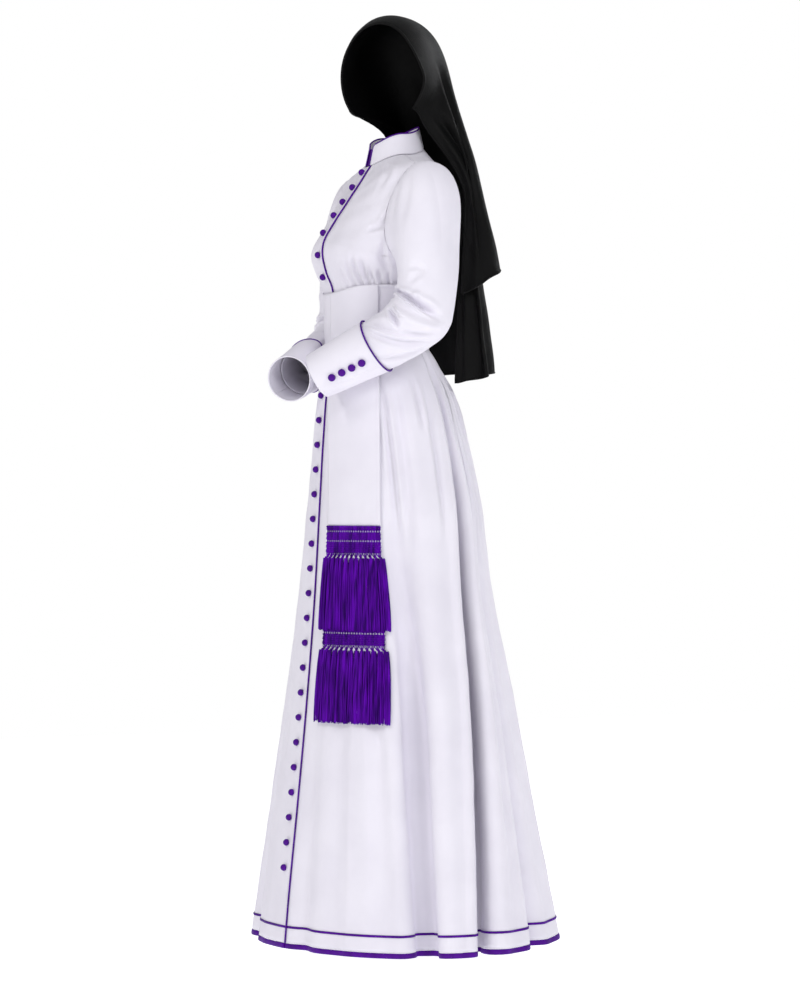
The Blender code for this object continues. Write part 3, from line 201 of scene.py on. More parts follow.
# The bodice, ring by ring. share 0 is the waist seam and 1 the neckline; a ring passes through a
# side point, a centre front point and a centre back point, on a superellipse of the given powers.
BODICE_RINGS = (
    # share side_x side_y  side_z  front_y front_z back_y  back_z  front_power back_power
    (0.00, 0.119, -0.036, -0.335, -0.1195, -0.335, 0.047, -0.335, 2.00, 2.00),
    (0.16, 0.124, -0.033, -0.240, -0.1235, -0.240, 0.056, -0.240, 2.00, 2.00),
    (0.26, 0.131, -0.030, -0.214, -0.1355, -0.208, 0.063, -0.208, 2.00, 2.05),
    (0.34, 0.137, -0.027, -0.200, -0.1415, -0.176, 0.069, -0.184, 2.00, 2.10),
    (0.40, 0.141, -0.025, -0.190, -0.1395, -0.155, 0.074, -0.168, 2.00, 2.15),
    (0.50, 0.148, -0.021, -0.150, -0.1200, -0.118, 0.083, -0.136, 1.95, 2.20),
    (0.60, 0.155, -0.018, -0.100, -0.1005, -0.089, 0.089, -0.104, 1.90, 2.30),
    (0.70, 0.158, -0.014, -0.056, -0.0855, -0.067, 0.090, -0.074, 1.92, 2.30),
    (0.80, 0.148, -0.009, -0.022, -0.0730, -0.049, 0.084, -0.044, 1.98, 2.20),
    (0.90, 0.103, -0.003, -0.007, -0.0620, -0.032, 0.072, -0.010, 2.00, 2.10),
    (1.00, 0.060, 0.002, 0.005, -0.0505, -0.014, 0.056, 0.022, 2.00, 2.00),
)
ARMHOLE = (0.40, 0.80)  # shares of the underarm and of the shoulder tip
ARMHOLE_HALF_ANGLE = 30.0
BUST = {"angle": 36.0, "share": 0.36, "half_angle": 22.0, "half_share": 0.10, "depth": 0.009}

# The skirt, level by level.
SKIRT_RINGS = (
    # z      side_x  front_y back_y  front_power back_power
    (-1.440, 0.338, -0.240, 0.297, 2.00, 2.00),
    (-1.354, 0.324, -0.230, 0.280, 2.00, 2.00),
    (-1.171, 0.291, -0.206, 0.243, 2.00, 2.00),
    (-0.988, 0.262, -0.184, 0.210, 1.95, 1.95),
    (-0.805, 0.232, -0.1655, 0.175, 1.90, 1.90),
    (-0.622, 0.200, -0.1520, 0.156, 1.85, 1.85),
    (-0.500, 0.172, -0.1430, 0.129, 1.85, 1.85),
    (-0.430, 0.151, -0.1365, 0.108, 1.88, 1.88),
    (-0.385, 0.134, -0.1290, 0.083, 1.95, 1.95),
    (-0.358, 0.127, -0.1240, 0.066, 1.97, 1.97),
    (-0.335, 0.119, -0.1195, 0.047, 2.00, 2.00),
)

# The large folds that open towards the hem. Each is a valley between two rounded ridges; before
# and after are its half widths on its two sides, so a small one is a steep side.
SKIRT_FOLDS = (
    # hem_angle before after depth  start_z
    (12.0, 4.2, 4.2, 0.015, -0.90),
    (57.6, 2.7, 7.0, 0.043, -0.62),
    (84.0, 3.8, 3.6, 0.054, -0.38),
    (111.6, 5.0, 4.4, 0.036, -0.62),
    (143.0, 5.5, 5.5, 0.036, -0.52),
    (169.0, 5.0, 5.0, 0.042, -0.45),
    (198.0, 5.5, 5.5, 0.036, -0.58),
    (228.0, 5.0, 5.0, 0.044, -0.46),
    (266.0, 4.6, 4.6, 0.048, -0.42),
    (301.0, 5.6, 3.4, 0.036, -0.62),
    (334.0, 4.8, 4.8, 0.020, -0.88),
)
FOLD_ROLL = 0.20  # how far the ridges lean over their valleys, as a share of the depth

# At the waist the folds start further back than they reach the hem.
FOLD_DRIFT = (
    # hem_angle drift
    (0.0, 0.0),
    (40.0, 0.0),
    (60.0, 3.0),
    (83.0, 38.0),
    (108.0, 24.0),
    (140.0, 12.0),
    (180.0, 0.0),
    (220.0, -12.0),
    (252.0, -24.0),
    (279.0, -30.0),
    (300.0, -3.0),
    (320.0, 0.0),
    (360.0, 0.0),
)
GATHERS = {"from": 66.0, "to": 296.0, "count": 17, "depth": 0.0045, "top": -0.342, "fade": -0.66}

SIDE_SEAMS = (84.0, 266.0)  # hem angles, each at the bottom of a fold
BODICE_SIDE_SEAMS = (90.0, 270.0)
FRONT_START, FRONT_END = -2.0, 362.0  # stand for the two front edges, which lap
LAP_COLUMNS = (3.2, 4.4)  # hem angles of two columns on both sides of the right front's edge

# The arms, as the sleeves hold them: upper-arm ring, elbow and wrist.
ARMS = {
    "left": {
        "upper": (0.199, -0.043, -0.215),
        "elbow": (0.215, -0.052, -0.302),
        "wrist": (0.063, -0.190, -0.400),
    },
    "right": {
        "upper": (-0.200, 0.020, -0.215),
        "elbow": (-0.228, 0.026, -0.333),
        "wrist": (-0.052, -0.187, -0.402),
    },
}
SIDEWAYS = {"left": 1.0, "right": -1.0}
ELBOW_ROUND = 0.085  # length of arm on each side of the elbow that the bend takes
# Sleeve section along the arm; share 0 is the upper-arm ring and 1 the wrist.
SLEEVE_RINGS = (
    # share across along
    (0.00, 0.0500, 0.0560),
    (0.15, 0.0480, 0.0540),
    (0.30, 0.0480, 0.0520),
    (0.50, 0.0490, 0.0500),
    (0.62, 0.0480, 0.0480),
    (0.80, 0.0440, 0.0440),
    (1.00, 0.0395, 0.0395),
)

# The head that the veil is shaped on, turned towards the wearer's left.
HEAD_CENTRE = (0.000, -0.004, 0.150)
HEAD_TURN = 40.0
HEAD_HALF = {"across": 0.086, "along": 0.104, "up": 0.1125}
VEIL_EDGE = (
    # across forward leaves   how far ahead of the head's middle the front edge lies, and how far
    # behind it the cloth leaves the head, from the crown down
    (0.00, 0.063, 0.1035),
    (0.25, 0.063, 0.0800),
    (0.45, 0.062, 0.0480),
    (0.60, 0.055, 0.0200),
    (0.75, 0.043, -0.0080),
    (0.88, 0.046, -0.0280),
    (1.00, 0.050, -0.0420),
)
VEIL_SAG = 30.0  # degrees that a column has slid down the head's side where it leaves it
VEIL_EDGE_ANGLE = 128.0  # from the crown down to the edge's lower end behind each ear
VEIL_ON_HEAD = 0.34  # share of the outer veil's length that lies on the head

# The falling part of each veil, level by level: points on its left edge, left turn, middle of the
# back, right turn and right edge. height is from the hem, 0, to the level where it leaves the head
# or the seam, 1.
OUTER_VEIL_RINGS = (
    # height  left_edge     left_turn      middle          right_turn      right_edge
    (0.00, 0.142, 0.062, 0.158, 0.128, -0.010, 0.184, -0.172, 0.136, -0.160, 0.078),
    (0.18, 0.138, 0.068, 0.146, 0.120, -0.010, 0.177, -0.164, 0.134, -0.158, 0.086),
    (0.40, 0.128, 0.078, 0.127, 0.106, -0.012, 0.168, -0.153, 0.130, -0.150, 0.096),
    (0.56, 0.115, 0.084, 0.115, 0.098, -0.016, 0.158, -0.141, 0.124, -0.134, 0.100),
    (0.70, 0.095, 0.072, 0.099, 0.088, -0.022, 0.146, -0.125, 0.112, -0.112, 0.086),
    (0.80, 0.080, 0.054, 0.088, 0.082, -0.030, 0.134, -0.112, 0.097, -0.092, 0.060),
    (0.90, 0.072, 0.030, 0.083, 0.078, -0.040, 0.122, -0.101, 0.081, -0.078, 0.029),
    (1.00, 0.0775, 0.0055, 0.082, 0.075, -0.052, 0.111, -0.094, 0.065, -0.068, 0.000),
)
OUTER_VEIL_TOP = (
    # across  z
    (-1.0, 0.086),
    (-0.6, 0.140),
    (0.0, 0.160),
    (0.6, 0.140),
    (1.0, 0.086),
)
INNER_VEIL_RINGS = (
    # height  left_edge     left_turn      middle          right_turn      right_edge
    (0.00, 0.112, 0.064, 0.146, 0.116, -0.005, 0.170, -0.160, 0.120, -0.147, 0.080),
    (0.30, 0.114, 0.070, 0.136, 0.103, -0.008, 0.152, -0.148, 0.118, -0.147, 0.090),
    (0.60, 0.108, 0.078, 0.114, 0.096, -0.012, 0.142, -0.132, 0.118, -0.144, 0.100),
    (0.80, 0.095, 0.082, 0.098, 0.092, -0.018, 0.134, -0.118, 0.112, -0.138, 0.102),
    (1.00, 0.086, 0.078, 0.088, 0.086, -0.028, 0.126, -0.104, 0.102, -0.128, 0.098),
)
OUTER_VEIL_CLEARANCE = 0.0125
INNER_VEIL_CLEARANCE = 0.0070
INNER_VEIL_TOP = 0.24  # share of the outer tier's fall at which the lower tier is sewn inside it
OUTER_VEIL_HEM = (
    # across  z
    (-1.0, -0.246),
    (-0.4, -0.206),
    (0.0, -0.196),
    (0.4, -0.204),
    (1.0, -0.250),
)
INNER_VEIL_HEM = (
    # across  z
    (-1.0, -0.408),
    (0.0, -0.386),
    (1.0, -0.410),
)
VEIL_WAVES = (
    # tier   count depth phase
    ("outer", 5.0, 0.0050, 0.6),
    ("inner", 6.0, 0.0060, 2.0),
)

SASH_LOWER_EDGE = (
    # angle z
    (0.0, SASH_BOTTOM_Z),
    (34.0, SASH_BOTTOM_Z),
    (64.0, -0.386),
    (90.0, -0.358),
    (120.0, -0.342),
    (150.0, -0.344),
    (180.0, -0.350),
    (210.0, -0.344),
    (240.0, -0.342),
    (270.0, -0.358),
    (296.0, -0.386),
    (326.0, SASH_BOTTOM_Z),
    (360.0, SASH_BOTTOM_Z),
)

# The sash's tails, level by level.
TAIL_LEVELS = (
    # z    middle_angle width
    (-1.10, 32.0, 0.146),
    (-0.86, 34.2, 0.143),
    (-0.668, 35.1, 0.1235),
    (-0.426, 36.6, 0.122),
    (-0.236, 37.9, 0.121),
)


# ---------------------------------------------------------------- curves and surfaces


def smooth_step(x):
    x = np.clip(x, 0.0, 1.0)
    return x * x * (3 - 2 * x)


def hermite(x, start, leave, end, arrive):
    """A smooth way from start, at 0, to end, at 1, along the two given directions."""
    return (
        (1 + 2 * x) * (1 - x) ** 2 * start
        + x * (1 - x) ** 2 * leave
        + x * x * (3 - 2 * x) * end
        - x * x * (1 - x) * arrive
    )


def row_at(rows, key):
    """The other columns of a table at the given values of its first, on a smooth curve."""
    rows = np.array(rows, float)
    rows = rows[np.argsort(rows[:, 0])]
    keys, values = rows[:, 0], rows[:, 1:]
    steps = np.diff(keys)
    slopes = np.diff(values, axis=0) / steps[:, None]
    before, after = steps[:-1, None], steps[1:, None]
    middle = (slopes[:-1] * after + slopes[1:] * before) / (before + after)
    tangents = np.vstack([slopes[:1], middle, slopes[-1:]])
    key = np.clip(np.asarray(key, float), keys[0], keys[-1])
    i = np.clip(np.searchsorted(keys, key) - 1, 0, len(steps) - 1)
    step = steps[i][..., None]
    x = ((key - keys[i])[..., None]) / step
    return hermite(x, values[i], step * tangents[i], values[i + 1], step * tangents[i + 1])


def matched(*values):
    """The values as arrays of floats of one shape."""
    return np.broadcast_arrays(*(np.asarray(value, float) for value in values))


def unit(vectors):
    return vectors / np.linalg.norm(vectors, axis=-1, keepdims=True)


def signed_power(x, power):
    return np.sign(x) * np.abs(x) ** power


def from_front(angle):
    """Degrees from the centre front, 0 to 180."""
    return np.abs((np.asarray(angle, float) + 180) % 360 - 180)


def ring_point(angle, side_x, side_y, front_y, back_y, front_power, back_power):
    """X and Y on a closed ring through its side, front and back points."""
    a = np.radians(angle)
    front = np.cos(a) >= 0
    power = np.where(front, front_power, back_power)
    x = side_x * signed_power(np.sin(a), 2 / power)
    reach = np.where(front, front_y - side_y, back_y - side_y)
    y = side_y + reach * np.abs(np.cos(a)) ** (2 / power)
    return x, y


def ring_out(x, y, side_x, side_y, front_y):
    """The level outward direction at a point on such a ring."""
    return unit(np.stack([x / side_x**2, (y - side_y) / (front_y - side_y) ** 2, 0 * x], -1))


def turned(points, way=1):
    """Points with the habit's slow turn about +Z put in, or taken out with way -1."""
    share = np.clip((points[..., 2] - HEM_Z) / (TURN_TOP_Z - HEM_Z), 0, 1)
    a = np.radians(TORSO_TURN * way) * share
    x, y = points[..., 0], points[..., 1]
    return np.stack([x * np.cos(a) - y * np.sin(a), x * np.sin(a) + y * np.cos(a), points[..., 2]], -1)


def normals_of(surface, u, v, du, dv):
    """Outward unit normals of surface(u, v), by differences."""
    along = surface(u + du, v) - surface(u - du, v)
    up = surface(u, v + dv) - surface(u, v - dv)
    return unit(np.cross(along, up))


def straight_bodice(angle, share):
    """The bodice's outer face, before the turn. share runs from the waist seam to the neckline."""
    angle, share = matched(angle, share)
    row = np.moveaxis(row_at(BODICE_RINGS, share), -1, 0)
    side_x, side_y, side_z, front_y, front_z, back_y, back_z, front_power, back_power = row
    x, y = ring_point(angle, side_x, side_y, front_y, back_y, front_power, back_power)
    lift = np.cos(np.radians(angle)) ** 2
    end_z = np.where(np.cos(np.radians(angle)) >= 0, front_z, back_z)
    z = side_z + (end_z - side_z) * lift
    cup = np.exp(-(((from_front(angle) - BUST["angle"]) / BUST["half_angle"]) ** 2))
    cup *= np.exp(-(((share - BUST["share"]) / BUST["half_share"]) ** 2))
    out = np.radians(angle)
    x = x + BUST["depth"] * cup * np.sin(out)
    y = y - BUST["depth"] * cup * np.cos(out)
    return np.stack([x, y, z], -1)


def hem_height(angle):
    """The hem's height at a hem angle: level, and a little higher at the back."""
    back = 0.5 - 0.5 * np.cos(np.radians(angle))
    return HEM_Z + HEM_LIFT * back**2


def straight_skirt(angle, share):
    """The skirt's outer face, before the turn. angle is where a line of the cloth reaches the hem,
    and share runs from the waist seam, 0, to the hem, 1."""
    angle, share = matched(angle, share)
    z = WAIST_Z + share * (hem_height(angle) - WAIST_Z)
    round_angle = angle % 360
    drift = row_at(FOLD_DRIFT, round_angle)[..., 0]
    valley = np.zeros_like(z)
    roll = np.zeros_like(z)
    for hem_angle, before, after, depth, start_z in SKIRT_FOLDS:
        across = (angle - hem_angle + 180) % 360 - 180
        across = across / np.where(across < 0, before, after)
        grown = np.clip((start_z - z) / (start_z - HEM_Z), 0, 1) ** 0.9
        bell = depth * grown * np.exp(-(across**2))
        valley += bell
        roll += bell * across
    g = GATHERS
    phase = (round_angle - g["from"]) / (g["to"] - g["from"])
    inside = smooth_step(phase * 8) * smooth_step((1 - phase) * 8)
    grown = smooth_step((g["top"] - z) / 0.04) * smooth_step((z - g["fade"]) / 0.22)
    valley += g["depth"] * inside * grown * (1 - np.cos(2 * math.pi * g["count"] * phase)) / 2
    row = np.moveaxis(row_at(SKIRT_RINGS, z), -1, 0)
    side_x, front_y, back_y, front_power, back_power = row
    side_y = (front_y + back_y) / 2
    at = angle + drift * np.clip(1 - share, 0, 1)
    x, y = ring_point(at, side_x, side_y, front_y, back_y, front_power, back_power)
    out = ring_out(x, y, side_x, side_y, front_y)
    x = x - valley * out[..., 0] + FOLD_ROLL * roll * out[..., 1]
    y = y - valley * out[..., 1] - FOLD_ROLL * roll * out[..., 0]
    return np.stack([x, y, z], -1)


def bodice(angle, share):
    return turned(straight_bodice(angle, share))


def skirt(angle, share):
    return turned(straight_skirt(angle, share))


def bodice_out(angle, share):
    return normals_of(bodice, np.asarray(angle, float), np.asarray(share, float), 0.5, 0.004)


def skirt_out(angle, share):
    return -normals_of(skirt, np.asarray(angle, float), np.asarray(share, float), 0.4, 0.004)


def on_bodice(angle, share, out=0.0):
    """A point off the bodice's face, with its fine form."""
    out = np.asarray(out, float) + bodice_detail(angle, share)
    return bodice(angle, share) + bodice_out(angle, share) * out[..., None]


def on_skirt(angle, share, out=0.0):
    """A point off the skirt's face, with its fine form."""
    out = np.asarray(out, float) + skirt_detail(angle, share)
    ahead = skirt_out(angle, share)
    along = unit(np.stack([-ahead[..., 1], ahead[..., 0], np.zeros_like(ahead[..., 0])], -1))
    return skirt(angle, share) + ahead * out[..., None] + along * skirt_lean(angle, share)[..., None]


@functools.lru_cache(maxsize=None)
def angle_across(surface, share, distance):
    """The angle at which a surface's front has come this far to the wearer's left."""
    low, high = -30.0, 30.0
    for _ in range(28):
        middle = (low + high) / 2
        if surface(middle, share)[0] < distance:
            low = middle
        else:
            high = middle
    return middle


def share_at_height(surface, z):
    """The share at which the centre front of a surface is at height z."""
    low, high = 0.0, 1.0
    rises = surface(0.0, 1.0)[2] > surface(0.0, 0.0)[2]
    for _ in range(40):
        middle = (low + high) / 2
        if (surface(0.0, middle)[2] < z) == rises:
            low = middle
        else:
            high = middle
    return middle


def front_edge(surface, share, start, flare=0.0):
    """Angles of a front edge that stands start from the centre front, and flare more at the hem."""
    share = np.atleast_1d(share)
    return np.array([angle_across(surface, s, start + flare * s) for s in share])


def tucked(angle, edge, depth):
    """How far inwards the left front lies, to pass under the right front's edge."""
    return depth * (1 - smooth_step((angle - edge) / 6.0))


def fold_columns(start, end, spacing=5.6):
    """Hem angles for a panel's columns: evenly spread, with one on each fold's line and flanks."""
    wanted = {start, end}
    if start == FRONT_START:
        wanted |= set(LAP_COLUMNS)
    for hem_angle, before, after, _, _ in SKIRT_FOLDS:
        for turn in (-360, 0, 360):
            for part in (-1.3, -0.65, 0.0, 0.65, 1.3):
                angle = hem_angle + turn + part * (before if part < 0 else after)
                if max(start + 1.5, 5.5) < angle < end - 1.5:
                    wanted.add(angle)
    wanted = sorted(wanted)
    columns = [wanted[0]]
    for angle in wanted[1:]:
        parts = max(1, round((angle - columns[-1]) / spacing))
        columns += list(np.linspace(columns[-1], angle, parts + 1)[1:])
    return np.array(columns)


def armhole_half_angle(share):
    """Half the armhole's width, in degrees, at a share of the bodice's height."""
    low, high = ARMHOLE
    across = (np.asarray(share) - low) / (high - low)
    return ARMHOLE_HALF_ANGLE * np.sqrt(np.clip(1 - (2 * across - 1) ** 2, 0, 1))


def body_section(z):
    """The robe's horizontal section at heights from the underarm down: half width, middle and
    half depth."""
    torso = np.array([(row[3], row[1], row[4], row[6]) for row in BODICE_RINGS[:5]])
    lower = np.array([(row[0], row[1], row[2], row[3]) for row in SKIRT_RINGS[:-1]])
    side_x, front_y, back_y = np.moveaxis(row_at(np.vstack([torso, lower]), z), -1, 0)
    return side_x, (front_y + back_y) / 2, (back_y - front_y) / 2


BODY_PUSH = {"power": 14, "top_z": -0.165}  # a high power keeps the points outside untouched


def clear_of_body(points, clearance):
    """Moves points that lie inside the robe's body out to its face and the clearance."""
    points = turned(points, -1)
    half_width, middle, half_depth = body_section(points[..., 2])
    x, y = points[..., 0], points[..., 1] - middle
    reach = np.sqrt((x / half_width) ** 2 + (y / half_depth) ** 2)
    least = 1 + clearance / np.minimum(half_width, half_depth)
    power = BODY_PUSH["power"]
    held = (reach**power + least**power) ** (1 / power)
    held = np.where(points[..., 2] < BODY_PUSH["top_z"], held, reach)
    scale = held / reach
    moved = points.copy()
    moved[..., 0] = x * scale
    moved[..., 1] = y * scale + middle
    return turned(moved)


def arm_joints(side):
    return [np.array(ARMS[side][joint]) for joint in ("upper", "elbow", "wrist")]


def arm_line(side, share):
    """Points and directions of an arm's middle line from the upper-arm ring, 0, to the wrist, 1."""
    upper, elbow, wrist = arm_joints(side)
    first, second = unit(elbow - upper), unit(wrist - elbow)
    bend = min(ELBOW_ROUND, 0.95 * np.linalg.norm(elbow - upper))
    start, end = elbow - first * bend, elbow + second * bend
    straight = np.linalg.norm(start - upper)
    curve = np.linalg.norm(end - start) * 1.08
    last = np.linalg.norm(wrist - end)
    at = np.asarray(share, float) * (straight + curve + last)
    k = np.clip((at - straight) / curve, 0, 1)[..., None]
    arc = (1 - k) ** 2 * start + 2 * k * (1 - k) * elbow + k * k * end
    before = np.clip(at - straight, None, 0)[..., None]
    after = np.clip(at - straight - curve, 0, None)[..., None]
    points = arc + before * first + after * second
    directions = unit((1 - k) * first + k * second)
    return points, directions


def sleeve_frame(side, directions):
    """Across and along vectors of the sleeve's sections: outwards from the body, and forwards."""
    upper, elbow, wrist = arm_joints(side)
    axis = unit(np.cross(elbow - upper, wrist - elbow))
    first = unit(elbow - upper)
    outer = np.array([SIDEWAYS[side], 0.0, 0.0])
    outer = unit(outer - first * (outer @ first))
    turn = math.atan2(outer @ axis, outer @ np.cross(axis, first))
    hinge = np.broadcast_to(axis, directions.shape)
    inwards = np.cross(hinge, directions)
    outwards = inwards * math.cos(turn) + hinge * math.sin(turn)
    return outwards, np.cross(outwards, directions) * -SIDEWAYS[side]


def sleeve_section(side, share, around, grow=0.0):
    """Points of the sleeve at a share of the arm's length; around is 0 on the outer side, 90 in
    front, 180 next to the body and 270 behind."""
    share, around = matched(share, around)
    points, directions = arm_line(side, share)
    outwards, forwards = sleeve_frame(side, directions)
    across, along = np.moveaxis(row_at(SLEEVE_RINGS, share), -1, 0)
    a = np.radians(around)
    return (
        points
        + ((across + grow) * np.cos(a))[..., None] * outwards
        + ((along + grow) * np.sin(a))[..., None] * forwards
    )


def armhole_ring(side, around):
    """Points of the armhole and the bodice's outward direction there; around as in a sleeve."""
    a = np.radians(np.asarray(around, float))
    low, high = ARMHOLE
    share = (low + high) / 2 + (high - low) / 2 * np.cos(a)
    half = ARMHOLE_HALF_ANGLE * np.sin(a)
    angle = 90 - half if side == "left" else 270 + half
    return bodice(angle, share), bodice_out(angle, share)


def sleeve_cap(side, share, around):
    """The top of the sleeve, from the armhole, 0, to the upper-arm ring, 1."""
    share, around = matched(share, around)
    start, out = armhole_ring(side, around)
    end = sleeve_section(side, 0.0, around)
    down = sleeve_section(side, 0.02, around) - end
    high = 0.5 + 0.5 * np.cos(np.radians(around))
    sideways = np.array([SIDEWAYS[side], 0.0, 0.0])
    outwards = unit(out * 0.55 + sideways * 0.75)
    span = np.linalg.norm(end - start, axis=-1)
    start = start + out * 0.00045
    leave = outwards * (span * (0.35 + 0.75 * high))[..., None]
    arrive = unit(down) * (span * (0.55 + 0.55 * high))[..., None]
    return hermite(share[..., None], start, leave, end, arrive)


ARM_CLEARANCE = {"left": 0.0085, "right": 0.0095}  # how far a sleeve stays off the robe


def sleeve_face(side, share, around):
    """The sleeve's outer face below the upper-arm ring, kept off the robe's body."""
    section = sleeve_section(side, share, around)
    clearance = ARM_CLEARANCE[side] * smooth_step(np.asarray(share) / 0.3) + 0.0015
    return clear_of_body(section, clearance)


def sleeve_out(side, share, around):
    """Outward unit normals of the sleeve's face."""
    faced = normals_of(lambda u, v: sleeve_face(side, v, u), around, share, 2.0, 0.01)
    return faced * SIDEWAYS[side]


def arm_length(side):
    upper, elbow, wrist = arm_joints(side)
    return np.linalg.norm(elbow - upper) + np.linalg.norm(wrist - elbow)


def cuff_point(side, back, around, out):
    """A point off the turned-back cuff's line: back runs along it from the wrist edge, 0, to its
    turned-back edge, 1."""
    back, around = matched(back, around)
    length = CUFF_LENGTH + CUFF_SLANT * np.sin(np.radians(around - 50))
    share = 1.0 - back * length / arm_length(side)
    out = out + CUFF_EASE[side] * smooth_step((back - 0.5) * 2)
    return sleeve_face(side, share, around) + sleeve_out(side, share, around) * out[..., None]


def collar_point(angle, up, out=0.0):
    """The standing collar's outer face; up runs from the neckline, 0, to the top edge, 1."""
    angle, up = matched(angle, up)
    base = bodice(angle, 1.0)
    lean = np.stack([-base[..., 0] * 0.13, -(base[..., 1] - 0.004) * 0.15, np.ones_like(up)], -1)
    middle = base * (1, 1, 0)
    outwards = unit(middle - np.array([0.0, 0.002, 0.0]))
    rise = unit(np.stack([lean[..., 0] * 1.1, lean[..., 1] * 1.1, np.full_like(up, 0.04)], -1))
    return (
        base
        + rise * (up * COLLAR_HEIGHT + 0.0006)[..., None]
        + outwards * (np.asarray(out, float))[..., None]
    )


def around_waist(angle, z, out):
    """A point off the robe's face at a height: off the bodice above the waist seam, and off the
    skirt's smooth form below it."""
    angle, z, out = matched(angle, z, out)
    row = np.moveaxis(row_at(SKIRT_RINGS, np.minimum(z, WAIST_Z)), -1, 0)
    side_x, front_y, back_y, front_power, back_power = row
    side_y = (front_y + back_y) / 2
    x, y = ring_point(angle, side_x, side_y, front_y, back_y, front_power, back_power)
    below = np.stack([x, y, z], -1)
    point = below
    if np.any(z > WAIST_Z):
        low, high = np.zeros(z.shape), np.ones(z.shape)
        for _ in range(30):
            share = (low + high) / 2
            under = straight_bodice(angle, share)[..., 2] < z
            low, high = np.where(under, share, low), np.where(under, high, share)
        above = straight_bodice(angle, share) * (1, 1, 0) + z[..., None] * (0, 0, 1)
        point = np.where((z > WAIST_Z)[..., None], above, below)
    return turned(point + ring_out(x, y, side_x, side_y, front_y) * out[..., None])


def tail_point(across, z, out):
    """A point of a hanging tail; across runs from -1, at its front edge, to 1."""
    across, z, out = matched(across, z, out)
    middle, width = np.moveaxis(row_at(TAIL_LEVELS, z), -1, 0)
    here = around_waist(middle, z, out)
    ahead = around_waist(middle + 1.0, z, out)
    degrees = width / 2 / np.linalg.norm(ahead - here, axis=-1)
    return around_waist(middle + across * degrees, z, out)


def head_point(across_angle, back, grow):
    """A point on the head's rounded form: across_angle from the crown towards the wearer's left
    ear, and back, the distance behind the head's middle."""
    half = HEAD_HALF
    a = np.radians(across_angle)
    k = np.sqrt(np.clip(1 - (back / (half["along"] + grow)) ** 2, 0, 1))
    left = (half["across"] + grow) * k * np.sin(a)
    up = (half["up"] + grow) * k * np.cos(a)
    t = math.radians(HEAD_TURN)
    x = left * math.cos(t) - back * math.sin(t)
    y = left * math.sin(t) + back * math.cos(t)
    return np.stack([x, y, up], -1) + np.array(HEAD_CENTRE)


def veil_fall(rings, across, height):
    """The falling part: across is 1 at the left edge and -1 at the right one, and height runs
    from the hem, 0, to the top, 1. Gives X and Y."""
    knots = row_at(rings, height)
    at = (1 - across) * 2
    i = np.clip(np.floor(at).astype(int), 0, 3)
    k = (at - i)[..., None]
    knots = knots.reshape(knots.shape[:-1] + (5, 2))

    def knot(n):
        return np.take_along_axis(knots, np.clip(n, 0, 4)[..., None, None], -2)[..., 0, :]

    start, end = knot(i), knot(i + 1)
    leave = (end - knot(i - 1)) * np.where(i > 0, 0.5, 1.0)[..., None]
    arrive = (knot(i + 2) - start) * np.where(i < 3, 0.5, 1.0)[..., None]
    return hermite(k, start, leave, end, arrive)


def veil_waves(tier, across, share):
    """How far the cloth waves in and out, growing down the fall."""
    for name, count, depth, phase in VEIL_WAVES:
        if name == tier:
            edge = 1 - 0.6 * across**4
            return depth * edge * share**0.8 * np.sin(math.pi * count * across + phase)


def falling(tier, rings, hem, top, across, share):
    """A tier's falling part; share runs down it, 0 to 1."""
    z = top + (row_at(hem, across)[..., 0] - top) * share
    flat = veil_fall(rings, across, 1 - share)
    out = unit(flat - np.array([-0.01, 0.02]))
    flat = flat + out * veil_waves(tier, across, share)[..., None]
    return np.concatenate([flat, z[..., None]], -1)


def share_on_head(across):
    """The share of the outer veil's length that lies on the head, less towards its two edges."""
    return VEIL_ON_HEAD * (1 - 0.85 * np.abs(across) ** 3)


def outer_veil(across, down):
    """The outer tier: down is 0 at its front edge on the head and 1 at the hem."""
    across, down = matched(across, down)
    forward, leaves = np.moveaxis(row_at(VEIL_EDGE, np.abs(across)), -1, 0)
    on = share_on_head(across)
    on_head = np.clip(down / on, 0, 1)
    travelled = np.sin(on_head * math.pi / 2)
    back = (leaves + forward) * travelled - forward
    slid = VEIL_SAG * np.sin(math.pi * across) * smooth_step(on_head)
    edge = across * VEIL_EDGE_ANGLE + slid * (np.abs(across) < 1)
    cap = head_point(edge, back, 0.002 + 0.013 * smooth_step(back / 0.065))
    share = np.clip((down - on) / (1 - on), 0, 1)
    top = row_at(OUTER_VEIL_TOP, across)[..., 0]
    fall = falling("outer", OUTER_VEIL_RINGS, OUTER_VEIL_HEM, top, across, share)
    blend = smooth_step((down - on * 0.5) / (on * 0.7))[..., None]
    return cap * (1 - blend) + fall * blend


def inner_veil(across, down):
    """The lower tier: down is 0 at its seam inside the outer tier and 1 at the hem."""
    across, down = matched(across, down)
    inside = across * (0.60 + 0.30 * smooth_step(down / 0.6))
    outer_top = row_at(OUTER_VEIL_TOP, inside)[..., 0]
    outer_hem = row_at(OUTER_VEIL_HEM, inside)[..., 0]
    top = outer_top + (outer_hem - outer_top) * INNER_VEIL_TOP
    fall = falling("inner", INNER_VEIL_RINGS, INNER_VEIL_HEM, top, across, down)
    share = np.clip((fall[..., 2] - outer_top) / (outer_hem - outer_top), 0, 1)

    def outer_fall(at):
        return falling("outer", OUTER_VEIL_RINGS, OUTER_VEIL_HEM, outer_top, at, share)

    along = outer_fall(inside - 0.02) - outer_fall(inside + 0.02)
    out = unit(np.stack([along[..., 1], -along[..., 0], 0 * down], -1))
    inset = 0.0034 + 0.011 * smooth_step(down / 0.3) * (1 - 0.75 * np.abs(across) ** 3)
    hung = outer_fall(inside) - out * inset[..., None]
    blend = smooth_step((down - 0.10) / 0.40)[..., None]
    return (hung * (1 - blend) + fall * blend) * (1, 1, 0) + fall * (0, 0, 1)


# ---------------------------------------------------------------- fine form of the cloth


